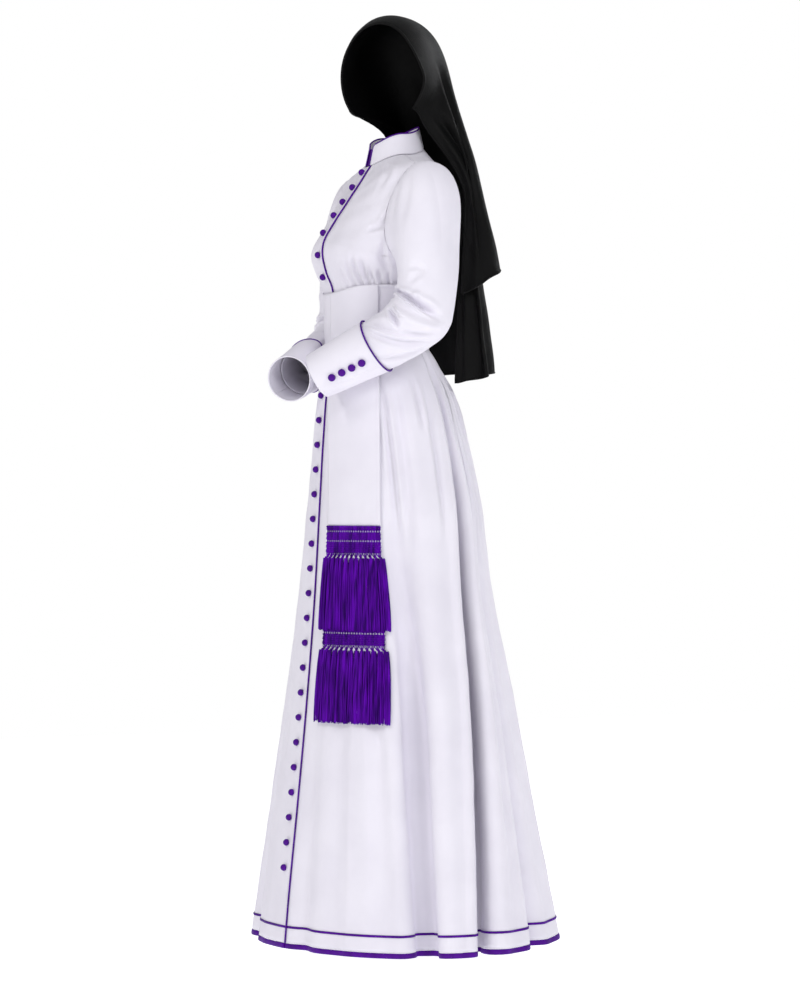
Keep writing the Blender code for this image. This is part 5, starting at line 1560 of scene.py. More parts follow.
def skirt_row(columns, start, end, height):
    """Angles and shares of a row of a skirt panel, height above the hem."""
    level = 1.0 - height / (WAIST_Z - HEM_Z)
    share = 1 - height / np.abs(hem_height(columns) - WAIST_Z)
    angles = panel_angles(columns, start, end, level)
    tuck = 0.0
    if start is None:
        edge = front_edge(straight_skirt, level, OVERLAP_EDGE, OVERLAP_FLARE)[0]
        tuck = tucked(angles, edge + 1.5, LAP_DEPTH)
    return angles, share, tuck


def make_skirt():
    left_seam, right_seam = SIDE_SEAMS
    panels = (
        ("skirt_front_left", None, left_seam),
        ("skirt_back", left_seam, right_seam),
        ("skirt_front_right", right_seam, None),
    )
    length = WAIST_Z - HEM_Z
    heights = np.linspace(BINDING_HEIGHT + SEAM_GAP, length - SEAM_GAP, SKIRT_ROWS)
    for name, start, end in panels:
        first = FRONT_START if start is None else start
        last = FRONT_END if end is None else end
        columns = fine_columns(first, last)
        grid = []
        for height in heights:
            angles, share, tuck = skirt_row(columns, start, end, height)
            share = np.maximum(share, SEAM_GAP / length)
            grid.append(on_skirt(angles, share, -tuck))
        sheet_piece(f"{name}_cloth", np.array(grid), "white_cloth", WALL, (name,))


def bodice_shares():
    """The bodice's rows from the waist seam up, closer together at the armholes' two ends."""
    low, high = ARMHOLE
    hole = (low + high) / 2 - (high - low) / 2 * np.cos(np.linspace(0, math.pi, 61))
    return np.concatenate([np.linspace(0, low, 31)[:-1], hole, np.linspace(high, 1.0, 11)[1:]])


def bodice_row(share):
    """One row of points for each of the bodice's three panels."""
    left, right = BODICE_SIDE_SEAMS
    half = float(armhole_half_angle(share))
    at = share + SEAM_GAP / 0.35 * (share == 0) - SEAM_GAP / 0.2 * (share == 1)
    edge = angle_across(straight_bodice, share, OVERLAP_EDGE)
    under = angle_across(straight_bodice, share, UNDERLAP_EDGE)
    side_x = max(straight_bodice(90.0, share)[0], 0.05)
    gap = math.degrees((SEAM_GAP + WALL * 0.25) / 2 / side_x) * 1.3
    lap = np.interp(np.arange(11), (0, 3, 6, 10), (under, edge - 0.5, edge + 2.4, edge + 7.5))
    rest = np.linspace(lap[-1], left - half - gap, 47)[1:]
    front_left = np.concatenate([lap, rest])
    front_right = np.linspace(right + half + gap, 360 + edge, 57)
    back = np.linspace(left + half + gap, right - half - gap, 104)
    return {
        "bodice_front_left": on_bodice(front_left, at, -tucked(front_left, edge + 1.5, LAP_DEPTH)),
        "bodice_back": on_bodice(back, at),
        "bodice_front_right": on_bodice(front_right, at),
    }


def make_bodice():
    rows = [bodice_row(share) for share in bodice_shares()]
    for name in rows[0]:
        grid = np.array([row[name] for row in rows])
        sheet_piece(f"{name}_cloth", grid, "white_cloth", WALL, (name,))


# ---------------------------------------------------------------- sleeves and cuffs

AROUND = np.arange(120) * 3.0  # degrees of a sleeve's columns
CAP_ROWS = 24
ARM_ROWS = 116
CUFF_ROWS = 44


def sleeve_cap_rows(side):
    rows = []
    for share in np.linspace(0, 1, CAP_ROWS + 1)[:-1]:
        at = np.clip(share, 0.03, 0.98)
        out = normals_of(lambda u, v: sleeve_cap(side, v, u), AROUND, at, 2.0, 0.02) * SIDEWAYS[side]
        rows.append(sleeve_cap(side, share, AROUND) + out * cap_detail(share, AROUND)[:, None])
    return rows


def sleeve_arm_rows(side):
    """The sleeve below the upper-arm ring, drawn in a little where it goes into the cuff."""
    rows = []
    inside_cuff = 1 - SLEEVE_SHORT / arm_length(side)
    for share in np.linspace(0, inside_cuff, ARM_ROWS):
        inset = 0.0010 * smooth_step((share - inside_cuff + 0.26) / 0.10)
        off = sleeve_detail(side, share, AROUND) - inset
        rows.append(sleeve_face(side, share, AROUND) + sleeve_out(side, share, AROUND) * off[:, None])
    return rows


def make_sleeve(side):
    name = f"sleeve_{side}"
    points = np.array(sleeve_cap_rows(side) + sleeve_arm_rows(side))
    sheet_piece(f"{name}_cloth", points, "white_cloth", WALL, (name,), True, side == "right")


CUFF_STITCH_IN = 0.006  # from the cuff's edges to their stitches
CUFF_OVERLAP = {"around": -14.0, "step": 0.0007, "wide": 46.0}


def cuff_detail(around, back):
    """The cuff's lapped end, the stitches' groove at both edges, and a slight unevenness."""
    from_lap = (np.asarray(around, float) - CUFF_OVERLAP["around"]) % 360
    lap = smooth_step(from_lap / 2.2) * (1 - smooth_step((from_lap - 20) / CUFF_OVERLAP["wide"]))
    a = np.radians(around)
    soft = waves(np.cos(a) * 0.04, back * CUFF_LENGTH + np.sin(a) * 0.04, "cuff")
    groove = seam_dip((1 - back) * CUFF_LENGTH - CUFF_STITCH_IN, 0.00025, 0.0010)
    groove = groove + seam_dip(back * CUFF_LENGTH - CUFF_STITCH_IN, 0.00025, 0.0010)
    return CUFF_OVERLAP["step"] * lap + soft * (0.4 + 0.6 * np.sin(math.pi * back)) + groove


def on_cuff(side, back, around):
    """Points on the cuff's outer face, with its fine form."""
    return cuff_point(side, back, around, CUFF_OUT + cuff_detail(around, back))


def cuff_out(side, back, around):
    """The outward direction at a point of the cuff."""
    return sleeve_out(side, 1.0 - back * CUFF_LENGTH / arm_length(side), around)


def make_cuff_piping(side, around):
    name = f"cuff_piping_{side}"
    edge = cuff_point(side, 1.0, around, CUFF_OUT)
    ahead = unit(cuff_point(side, 1.02, around, CUFF_OUT) - edge)
    ring = edge + ahead * (PIPING_RADIUS + SEAM_GAP) * 0.7
    cord_piece(f"{name}_cord", ring, PIPING_RADIUS, "violet_trim", (name,), True)


def make_cuff_stitches(side, around):
    """A row of stitches along both edges of the cuff, and one across it at its lapped end."""
    whole = np.append(around, 360.0)
    ends = (CUFF_STITCH_IN / CUFF_LENGTH, 1 - CUFF_STITCH_IN / CUFF_LENGTH)
    lines = [on_cuff(side, back, whole) for back in ends]
    outs = [cuff_out(side, back, whole) for back in ends]
    backs = np.linspace(0.05, 0.95, 30)
    at = CUFF_OVERLAP["around"] + 5.5
    lines.append(np.array([on_cuff(side, back, at) for back in backs]))
    outs.append(np.array([cuff_out(side, back, at) for back in backs]))
    stitch_piece(f"cuff_stitches_{side}", lines, outs)


def make_cuff(side):
    name = f"cuff_{side}"
    lap = CUFF_OVERLAP["around"] % 360 + np.array([0.0, 0.7, 1.4, 2.2])
    around = np.sort(np.concatenate([AROUND, lap]))
    points = np.array([on_cuff(side, back, around) for back in np.linspace(1, 0, CUFF_ROWS)])
    sheet_piece(f"{name}_cloth", points, "white_cloth", CUFF_WALL, (name,), True, side == "right")
    make_cuff_piping(side, around)
    make_cuff_stitches(side, around)


# ---------------------------------------------------------------- collar and front trims

COLLAR_STITCH_DOWN = 0.004  # from the collar's top edge to its stitches
UNDERLAP_WALL = 0.0012


def make_collar_cloth(notch):
    angles = np.linspace(notch, 360 - notch, 141)
    rows = []
    for up in np.linspace(0.0, 1.0, 17):
        soft = waves(angles * 0.001, up * 0.04, "collar")
        groove = seam_dip((1 - up) * COLLAR_HEIGHT - COLLAR_STITCH_DOWN, 0.0002, 0.0010)
        rows.append(collar_point(angles, up, soft * math.sin(math.pi * up) + groove))
    sheet_piece("collar_cloth", np.array(rows), "white_cloth", COLLAR_WALL, ("collar",))


def make_collar_binding(notch):
    """One cord up the collar's one end, along its top edge and down the other end."""
    gap = PIPING_RADIUS * 0.85
    middle = -COLLAR_WALL / 2
    step = math.degrees(gap / 0.056)
    first, last = notch - step, 360 - notch + step
    ups = np.linspace(0.03, 0.93, 14)
    line = [collar_point(first, up, middle) for up in ups]
    top = np.linspace(first, last, 150)[3:-3]
    line += [collar_point(angle, 1 + gap / COLLAR_HEIGHT, middle) for angle in top]
    line += [collar_point(last, up, middle) for up in ups[::-1]]
    line = even_line(line, 0.003)
    cord_piece("collar_binding_cord", line, PIPING_RADIUS * 0.9, "violet_trim", ("collar_binding",))


def make_collar_underlap(notch):
    inside = -(COLLAR_WALL + 0.0011)
    under = np.linspace(360 - notch * 1.9, 360 + notch * 1.9, 33)
    rows = np.array([collar_point(under, up, inside) for up in np.linspace(0.02, 0.86, 17)])
    sheet_piece("collar_underlap_cloth", rows, "violet_trim", UNDERLAP_WALL, ("collar_underlap",))


def make_collar_stitches(notch):
    angles = np.linspace(notch + 3, 357 - notch, 140)
    line = collar_point(angles, 1 - COLLAR_STITCH_DOWN / COLLAR_HEIGHT, 0.0001)
    outs = unit(line * (1, 1, 0) - np.array([0, 0.002, 0]))
    stitch_piece("collar_stitches", [line], [outs])


def make_collar():
    notch = angle_across(straight_bodice, 1.0, COLLAR_NOTCH)
    make_collar_cloth(notch)
    make_collar_binding(notch)
    make_collar_underlap(notch)
    make_collar_stitches(notch)


PIPING_SET_BACK = -WALL / 2 + 0.0004  # the piping's middle, off the robe's face
FRONT_STITCH_IN = 0.005  # from the right front's edge to its stitches


def make_front_piping():
    """One cord down the right front's edge, from the neckline to the hem, and the stitches beside
    it."""
    points, stitched, outs = [], [], []
    beside = PIPING_RADIUS + SEAM_GAP / 2
    skirt_end = 1 - (BINDING_HEIGHT + SEAM_GAP) / (WAIST_Z - HEM_Z)
    runs = (
        # form, face and direction of the surface, flare of its edge, shares
        (straight_bodice, on_bodice, bodice_out, 0.0, np.linspace(0.995, 0.0, 60)),
        (straight_skirt, on_skirt, skirt_out, OVERLAP_FLARE, np.linspace(0.005, skirt_end, 150)),
    )
    for form, face, outward, flare, shares in runs:
        for share in shares:
            start = OVERLAP_EDGE + flare * share
            points.append(face(angle_across(form, share, start + beside), share, PIPING_SET_BACK))
            inner = angle_across(form, share, start - FRONT_STITCH_IN)
            stitched.append(face(inner, share))
            outs.append(outward(inner, share))
    line = even_line(points, 0.006)
    cord_piece("front_piping_cord", line, PIPING_RADIUS, "violet_trim", ("front_piping",))
    stitch_piece("front_stitches", [np.array(stitched)], [np.array(outs)])


def arched(across):
    """A rounded profile: 0 at both edges, 0 and 1, and 1 in the middle."""
    return np.sqrt(np.clip(1 - (2 * across - 1) ** 2, 0, 1))


def hem_strip(columns, heights, outs):
    """Rows of points round the whole hem, at heights above it and off the skirt's face."""
    rows = []
    for height, out in zip(heights, outs):
        angles, share, tuck = skirt_row(columns, None, None, height)
        rows.append(on_skirt(angles, share, out - tuck))
    return np.array(rows)


def make_hem_trims():
    """The binding over the hem, and the tape above it, which ends at the right front's edge."""
    stops = (FRONT_START, *SIDE_SEAMS, FRONT_END)
    parts = [fine_columns(start, end)[1:] for start, end in zip(stops, stops[1:])]
    columns = np.concatenate([[FRONT_START], *parts])
    heights = np.linspace(0.0, BINDING_HEIGHT, 7)
    rows = hem_strip(columns, heights, 0.0007 * arched(heights / BINDING_HEIGHT))
    sheet_piece("hem_binding_cloth", rows, "violet_trim", WALL, ("hem_binding",))
    across = np.linspace(0.0, 1.0, 5)
    bulge = LAY_GAP + TAPE_THICKNESS * (0.8 + 0.6 * arched(across))
    first = int(np.searchsorted(columns, LAP_COLUMNS[1]))
    rows = hem_strip(columns, TAPE_UP + TAPE_WIDTH * across, bulge)[:, first:]
    sheet_piece("hem_tape_braid", rows, "violet_trim", TAPE_THICKNESS, ("hem_tape",))


# ---------------------------------------------------------------- buttons

BUTTON_TURNS = 28
BUTTON_PLEATS = 14
BUTTON_PROFILE = (
    # radius height, as shares of the button's, from the middle of its foot to its top
    (0.0, 0.02),
    (0.70, 0.00),
    (0.86, 0.05),
    (0.97, 0.16),
    (1.00, 0.30),
    (0.985, 0.42),
    (0.93, 0.56),
    (0.84, 0.69),
    (0.70, 0.81),
    (0.52, 0.91),
    (0.32, 0.97),
    (0.14, 0.995),
)


def button_rows(radius, height):
    a = np.arange(BUTTON_TURNS) * 2 * math.pi / BUTTON_TURNS
    rows = []
    for x, z in BUTTON_PROFILE:
        pleat = 1 - 0.012 * (1 + np.cos(a * BUTTON_PLEATS)) * (z < 0.45) * (x > 0.5)
        reach = x * radius * pleat
        rows.append(np.stack([reach * np.cos(a), reach * np.sin(a), z * height + 0 * a], -1))
    points = np.array(rows)
    points[0] = (0.0, 0.0, 0.0)
    return points


def button_data(radius, height):
    """A covered button: a rounded dome whose cloth is gathered under its rim."""
    points = button_rows(radius, height)
    count = len(points)
    last_ring = (count - 1) * BUTTON_TURNS
    every_second = np.arange(0, BUTTON_TURNS, 2)
    after = last_ring + (every_second + 2) % BUTTON_TURNS
    top = np.full(len(every_second), count * BUTTON_TURNS)
    caps = np.stack([last_ring + every_second, last_ring + every_second + 1, after, top], -1)
    faces = np.concatenate([grid_faces(count, BUTTON_TURNS, True), caps])
    uvs = np.concatenate([grid_uvs(points, True), np.zeros((len(caps) * 4, 2))])
    flat = np.concatenate([points.reshape(-1, 3), [[0.0, 0.0, height]]])
    data = mesh_of("button", flat, faces, uvs)
    mesh = bmesh.new()
    mesh.from_mesh(data)
    bmesh.ops.remove_doubles(mesh, verts=mesh.verts, dist=1e-7)
    bmesh.ops.recalc_face_normals(mesh, faces=mesh.faces)
    mesh.to_mesh(data)
    mesh.free()
    data.shade_smooth()
    return data


def place_button(name, data, point, out, spin):
    made = finish_piece(f"{name}_cover", data.copy(), "violet_trim", (name,))
    z = unit(np.array(out, float))
    x = unit(np.cross((0.0, 0.0, 1.0), z))
    y = np.cross(z, x)
    turned_frame = Matrix((x, y, z)).transposed().to_4x4()
    made.matrix_world = Matrix.Translation(point) @ turned_frame @ Matrix.Rotation(spin, 4, "Z")


def make_front_buttons():
    data = button_data(BUTTON_RADIUS, BUTTON_HEIGHT)
    lower = [SKIRT_BUTTON_TOP_Z - i * SKIRT_BUTTON_PITCH for i in range(SKIRT_BUTTONS)]
    places = [(bodice, bodice_out, z) for z in BODICE_BUTTON_ZS]
    places += [(skirt, skirt_out, z) for z in lower]
    for number, (surface, out, z) in enumerate(places, 1):
        share = share_at_height(surface, z)
        outward = out(0.0, share)
        point = surface(0.0, share) + outward * 0.0002
        place_button(f"front_button_{number:02d}", data, point, outward, number * 1.9)


def make_cuff_buttons(side):
    data = button_data(CUFF_BUTTON_RADIUS, BUTTON_HEIGHT)
    for i in range(CUFF_BUTTONS):
        back = (CUFF_BUTTON_START + i * CUFF_BUTTON_PITCH) / CUFF_LENGTH
        out = cuff_out(side, back, CUFF_BUTTON_AROUND)
        point = on_cuff(side, back, CUFF_BUTTON_AROUND)
        place_button(f"cuff_button_{side}_{i + 1}", data, point, out, i * 1.3)


# ---------------------------------------------------------------- sash and fringe

SASH_UPPER_EDGE = (
    # degrees, height: the band has slipped a little at the front
    (0.0, -0.2470),
    (18.0, -0.2450),
    (45.0, -0.2375),
    (90.0, SASH_TOP_Z),
    (270.0, SASH_TOP_Z),
    (315.0, -0.2385),
    (342.0, -0.2460),
    (360.0, -0.2470),
)
BAND_FOLDS = [
    # degrees part degrees part bow half_width height lean, all nearly level
    (62.0, 0.80, 4.0, 0.88, 0.0020, 0.0050, -0.0011, 0.2),
    (70.0, 0.52, 40.0, 0.60, -0.0020, 0.0060, -0.0010, 0.0),
    (24.0, 0.30, -6.0, 0.22, 0.0010, 0.0050, -0.0009, 0.1),
    (120.0, 0.70, 70.0, 0.62, 0.0030, 0.0060, -0.0014, 0.2),
    (150.0, 0.35, 96.0, 0.30, -0.0020, 0.0055, -0.0012, 0.0),
    (215.0, 0.66, 158.0, 0.72, 0.0030, 0.0060, -0.0014, 0.1),
    (262.0, 0.40, 205.0, 0.34, 0.0020, 0.0060, -0.0012, 0.0),
    (318.0, 0.72, 262.0, 0.64, -0.0020, 0.0060, -0.0013, 0.2),
    (350.0, 0.42, 300.0, 0.36, 0.0020, 0.0055, -0.0010, 0.0),
]


def band_edge(table, angles):
    return row_at(table, np.asarray(angles, float) % 360)[..., 0]


def band_point(angles, part, out):
    """A point of the waist band: part runs from its lower edge, 0, to its upper one, 1."""
    low, high = band_edge(SASH_LOWER_EDGE, angles), band_edge(SASH_UPPER_EDGE, angles)
    return around_waist(angles, low + (high - low) * part, out)


SASH_HEIGHT = 0.18
SASH_FOLD_SIZE = (0.0022, 0.15)
SASH_OUT = SASH_STANDOFF + SASH_WALL
SASH_STITCHES = (0.035, 0.965)  # shares of the band's height


def band_detail(angles, part):
    """Unevenness and folds of the waist band, with a slight lip at both edges."""
    a = np.radians(angles)
    soft = waves(np.cos(a) * 0.12, part * SASH_HEIGHT * 2.2 + np.sin(a) * 0.12, "sash_band")
    folds = sum(creases(angles + turn, part, BAND_FOLDS, SASH_FOLD_SIZE) for turn in (-360, 0, 360))
    inner = math.sin(math.pi * part)
    lip = 0.0
    for height in (part * SASH_HEIGHT, (1 - part) * SASH_HEIGHT):
        lip = lip - seam_dip(height - 0.001, 0.0003, 0.003)
    return 0.0004 + soft * inner + folds * (inner > 0.1) + lip


def make_sash_band():
    angles = np.arange(180) * 2.0
    rows = []
    for part in np.linspace(0, 1, 37):
        rows.append(band_point(angles, part, SASH_OUT + band_detail(angles, part)))
    sheet_piece("sash_band_cloth", np.array(rows), "white_cloth", SASH_WALL, ("sash_band",), True)
    whole = np.append(angles, 360.0)
    lines, outs = [], []
    for part in SASH_STITCHES:
        line = band_point(whole, part, SASH_OUT + 0.0006)
        lines.append(line)
        outs.append(unit(band_point(whole, part, SASH_OUT + 0.01) - line))
    stitch_piece("sash_stitches", lines, outs)


TAIL_WAVES = {"count": 5.0, "depth": 0.0006, "over": 0.030}
TAIL_HALF_ANGLE = 36  # degrees of the waist band that half a tail covers at its top
TAIL_STITCHES = (-0.91, 0.91)  # across the tail
TAIL_STITCH_TOP_Z = -0.249


def tail_detail(across, z, end_z):
    """Slight unevenness of a hanging tail, with small ripples where its fringe is sewn on."""
    soft = waves(across * 0.06, z, "sash_tail")
    low = np.exp(-(((z - end_z) / TAIL_WAVES["over"]) ** 2))
    ripple = TAIL_WAVES["depth"] * (1 + np.sin(across * math.pi * TAIL_WAVES["count"] + 0.8)) / 2
    high = 1 - smooth_step((z - SASH_BOTTOM_Z + 0.02) / 0.04)
    edges = 0.0004 * smooth_step((np.abs(across) - 0.9) / 0.1)
    return (0.0002 + soft + low * ripple) * high + edges


def on_tail(across, z, out, end_z):
    return tail_point(across, z, out + tail_detail(across, z, end_z))


def make_tail(name, out, end_z):
    across = np.linspace(-1, 1, 41)
    top = band_edge(SASH_UPPER_EDGE, TAIL_LEVELS[-1][1] + across * TAIL_HALF_ANGLE) - 0.001
    shares = np.linspace(0, 1, 120)
    rows = [on_tail(across, end_z + (top - end_z) * share, out, end_z) for share in shares]
    sheet_piece(f"{name}_cloth", np.array(rows), "white_cloth", SASH_WALL, (name,))
    heights = np.linspace(end_z + 0.002, TAIL_STITCH_TOP_Z, 120)
    lines, outs = [], []
    for side in TAIL_STITCHES:
        line = np.array([on_tail(side, z, out, end_z) for z in heights])
        ahead = np.array([tail_point(side, z, out + 0.01) for z in heights])
        lines.append(line)
        outs.append(unit(ahead - line))
    stitch_piece(f"{name}_stitches", lines, outs)


FRINGE = {"bundles": 13, "threads": 26, "thread": 0.00096, "net": 0.011, "flare": 0.17}
FRINGE_STEPS = np.linspace(0, 1, 11)  # along a thread
BACKING_THREADS = 96
BACKING_WALL = 0.0004
HEADER_STRIPS = (
    # first and last line of knots, in metres below the header's top edge
    (0.0062, 0.0062),
    (0.0133, 0.0235),
    (0.0306, 0.0464),
)
HEADER_HOLES = (0.0097, 0.0270)  # rows of small holes between the strips, below the top edge
HEADER_BEADS = 24
HEADER_POSTS = 24
HEADER_TURNS = 19
HEADER_PITCH = 0.0036  # between two lines of knots
POST_HALF_HEIGHT = 0.0022
YARN_RADII = {"bead": 0.0022, "strip": 0.00125, "post": 0.0014, "net": 0.0009, "knot": 0.0023}


def bead(points, kind):
    """A short thick cord with round ends."""
    line, radii = rounded_ends(points, YARN_RADII[kind])
    return tube_parts(line[None], radii, 8)


def strand(points, kind):
    return tube_parts(np.array(points)[None], YARN_RADII[kind], 5)


def spread(count):
    """The middles of equal parts of a tail's width, from -1 to 1."""
    return (np.arange(count) + 0.5) / count * 2 - 1


def header_beads(top, out):
    parts = []
    for across in np.linspace(-0.97, 0.97, HEADER_BEADS):
        middle = tail_point(across, top - 0.0020, out + 0.0006)
        beside = tail_point(across + 0.02, top - 0.0026, out + 0.0006)
        reach = unit(beside - middle) * 0.0010
        parts.append(bead([middle - reach, middle, middle + reach], "bead"))
    return parts


def header_strips(top, out):
    """Pairs of yarns that wind round each other across the tail."""
    parts = []
    across = np.linspace(-1, 1, 153)
    for row, (low, high) in enumerate(HEADER_STRIPS):
        count = int(round((high - low) / HEADER_PITCH)) + 1
        for i, drop in enumerate(np.linspace(low, high, count)):
            for shift in (0.0, math.pi):
                turn = across * math.pi * HEADER_TURNS + shift + (i + row) % 2 * math.pi / 2
                z = top - drop + 0.0013 * np.sin(turn)
                lift = 0.0004 + 0.0010 * np.cos(turn)
                parts.append(strand(tail_point(across, z, out + lift), "strip"))
    return parts


def header_posts(top, out):
    """Short upright yarns that leave a row of holes between them."""
    parts = []
    for drop in HEADER_HOLES:
        for across in spread(HEADER_POSTS):
            heights = [top - drop - k * POST_HALF_HEIGHT for k in (-1, 0, 1)]
            line = [tail_point(across, z, out + 0.0002) for z in heights]
            parts.append(strand(line, "post"))
    return parts


def fringe_net(centres, bottom, out):
    """Four strands that run together into each bundle's knot."""
    parts = []
    for centre in centres:
        for way in (-1, 1):
            for edge_shift in (0.25, 0.75):
                start = centre + way * edge_shift / FRINGE["bundles"] * 1.25
                line = []
                for k in np.linspace(0, 1, 6):
                    knot = centre * (1 + 0.5 * FRINGE["flare"] * k)
                    across = start + (knot - start) * smooth_step(k) * 0.9
                    line.append(tail_point(across, bottom - k * FRINGE["net"], out + 0.0004 * way))
                parts.append(strand(line, "net"))
    return parts


def bundle_threads(centre, knot_z, drop, out, draw):
    """The threads of one bundle, which spread from its knot."""
    flare, steps, width = FRINGE["flare"], FRINGE_STEPS, 1.15 / FRINGE["bundles"]
    opened = 0.80 + 0.20 * smooth_step(steps * 6)
    knot = centre * (1 + 0.55 * flare)
    lean = (draw.random() - 0.5) * 0.06
    ahead = (draw.random() - 0.3) * 0.0012
    threads = []
    for _ in range(FRINGE["threads"]):
        aside, forward = draw.random(2) * 2 - 1
        end = centre * (1 + flare) + lean + aside * width
        length = drop + (draw.random() - 0.5) * 0.0050
        phase, swing = draw.random() * 6.28, 0.016 * draw.random()
        across = knot + (end - knot) * smooth_step(steps * 0.50 + 0.50) * opened
        across = across + aside * 0.022 + swing * np.sin(steps * 5 + phase) * steps
        puff = 0.0014 + 0.0034 * np.sin(math.pi * np.clip(steps * 0.8 + 0.1, 0, 1))
        round_bundle = (1 - aside**2) * 0.0020
        lift = 0.0004 + ahead * steps + (forward + 0.15) * puff * 0.6 + round_bundle
        z = knot_z + 0.002 - (length + 0.002) * steps
        threads.append(tail_point(across, z, out + np.maximum(lift, -0.0012)))
    return threads


def backing_threads(knot_z, drop, out, draw):
    """Threads spread evenly behind the bundles."""
    flare, steps = FRINGE["flare"], FRINGE_STEPS
    threads = []
    for spot in draw.random(BACKING_THREADS) * 2 - 1:
        across = spot * (1 + 0.45 * flare + 0.5 * flare * steps)
        across = across + 0.008 * np.sin(steps * 5 + spot * 40) * steps
        z = knot_z - 0.006 - (drop - 0.008 + draw.random() * 0.002) * steps
        threads.append(tail_point(across, z, out - 0.0006))
    return threads


def bundle_knots(centres, knot_z, out):
    parts = []
    for centre in centres * (1 + 0.5 * FRINGE["flare"]):
        middle = tail_point(centre, knot_z, out + 0.0008)
        above = tail_point(centre, knot_z + 0.0026, out + 0.0008)
        parts.append(bead([above, (above + middle) / 2, middle], "knot"))
    return parts


def make_backing(name, top, out):
    """The tape that the header is sewn on."""
    across = np.linspace(-0.99, 0.99, 25)
    rows = [tail_point(across, top - 0.004 - drop, out - 0.0004) for drop in np.linspace(0.057, 0.0, 12)]
    sheet_piece(f"{name}_backing", np.array(rows), "white_cloth", BACKING_WALL)


def make_fringe(name, out, top_z, seed):
    """A braided header of beads and three woven strips with rows of small holes between them, a
    short net below it, and soft bundles of twisted threads."""
    draw = np.random.default_rng(seed)
    top = top_z - SEAM_GAP
    bottom = top - HEADER_HEIGHT + 0.0015
    knot_z = bottom - FRINGE["net"]
    drop = HEADER_HEIGHT + FRINGE_DROP - (top - knot_z)
    centres = spread(FRINGE["bundles"])
    parts = header_beads(top, out) + header_strips(top, out) + header_posts(top, out)
    parts += fringe_net(centres, bottom, out)
    threads = []
    for centre in centres:
        threads += bundle_threads(centre, knot_z, drop, out, draw)
    threads += backing_threads(knot_z, drop, out, draw)
    radii = FRINGE["thread"] * (1.15 - 0.15 * smooth_step(FRINGE_STEPS * 4))
    radii[-1] *= 0.8
    parts.append(tube_parts(np.array(threads), np.broadcast_to(radii, (len(threads), len(radii))), 5))
    parts += bundle_knots(centres, knot_z, out)
    finish_piece(f"{name}_yarn", mesh_of(name, *joined(parts)), "violet_fringe", (name,))
    make_backing(name, top, out)


def make_sash():
    make_sash_band()
    back_out = SASH_OUT + SASH_WALL + LAY_GAP + 0.0004
    front_out = back_out + SASH_WALL + LAY_GAP + 0.0002
    make_tail("sash_tail_back", back_out, BACK_TAIL_END_Z)
    make_tail("sash_tail_front", front_out, FRONT_TAIL_END_Z)
    make_fringe("fringe_back", back_out + 0.0003, BACK_TAIL_END_Z, 81)
    make_fringe("fringe_front", front_out + 0.0010, FRONT_TAIL_END_Z, 82)


# ---------------------------------------------------------------- veil


def pushed_off(points, tree, outs, clearance):
    """Moves points that are nearer than the clearance to a surface, or inside it, off it."""
    flat = points.reshape(-1, 3).copy()
    for _ in range(3):
        nearest = [tree.find(p) for p in flat]
        near = np.array([n[0] for n in nearest])
        out = outs[[n[1] for n in nearest]]
        height = ((flat - near) * out).sum(-1)
        flat += out * np.clip(clearance - height, 0, 0.05)[:, None]
    return flat.reshape(points.shape)


BACK_ANGLES = np.linspace(40, 320, 90)


def patch_of(surface, outward, end, rows):
    """Points and outward directions over the back and sides of a surface, from share 0 to end."""
    angles, shares = np.meshgrid(BACK_ANGLES, np.linspace(0.0, end, rows))
    return surface(angles, shares).reshape(-1, 3), outward(angles, shares).reshape(-1, 3)


def back_of_robe():
    """A search tree over the bodice and the top of the skirt, and their outward directions."""
    patches = [patch_of(bodice, bodice_out, 1.0, 60), patch_of(skirt, skirt_out, 0.15, 14)]
    points, outs = (np.vstack(arrays) for arrays in zip(*patches))
    tree = KDTree(len(points))
    for i, point in enumerate(points):
        tree.insert(point, i)
    tree.balance()
    return tree, outs


VEIL_FOLDS = [
    # across down across down bow half_width height lean
    (0.86, 0.16, 0.74, 0.70, 0.006, 0.0140, -0.0090, 0.2),
    (0.50, 0.10, 0.62, 0.66, 0.004, 0.0130, -0.0070, 0.2),
    (0.66, 0.34, 0.80, 1.05, 0.008, 0.0150, -0.0040, 0.2),
    (0.44, 0.30, 0.55, 0.92, 0.010, 0.0180, 0.0045, 0.0),
    (0.22, 0.36, 0.30, 1.10, 0.007, 0.0170, -0.0052, 0.2),
    (0.03, 0.46, 0.06, 1.10, 0.005, 0.0190, 0.0036, 0.0),
    (-0.13, 0.32, -0.18, 0.98, -0.005, 0.0150, -0.0046, 0.1),
    (-0.36, 0.44, -0.44, 1.10, -0.008, 0.0180, 0.0044, 0.0),
    (-0.58, 0.30, -0.70, 1.00, -0.008, 0.0150, -0.0044, 0.2),
    (-0.86, 0.16, -0.74, 0.70, -0.006, 0.0140, -0.0080, 0.2),
]
VEIL_SIZE = (0.26, 0.55)
VEIL_COLUMNS = np.linspace(1, -1, 121)
HEM_RADIUS = {"outer": 0.0022, "inner": 0.0019}


def veil_detail(across, down):
    soft = waves(across * VEIL_SIZE[0], down * VEIL_SIZE[1], "veil_outer")
    grown = smooth_step((down - 0.3) / 0.5)
    return creases(across, down, VEIL_FOLDS, VEIL_SIZE) + soft * grown


def veil_piece(name, grid, detail):
    """A tier's cloth with its folds. Gives its points."""
    out = unit(np.cross(np.gradient(grid, axis=1), np.gradient(grid, axis=0)))
    middle = grid.reshape(-1, 3).mean(0) * (1, 1, 0) + np.array([0, -0.06, 0])
    if ((grid - middle) * out * (1, 1, 0)).sum() < 0:
        out = -out
    points = grid + out * detail[..., None]
    sheet_piece(f"{name}_cloth", points, "black_cloth", VEIL_WALL * 0.8, (name,))
    return points


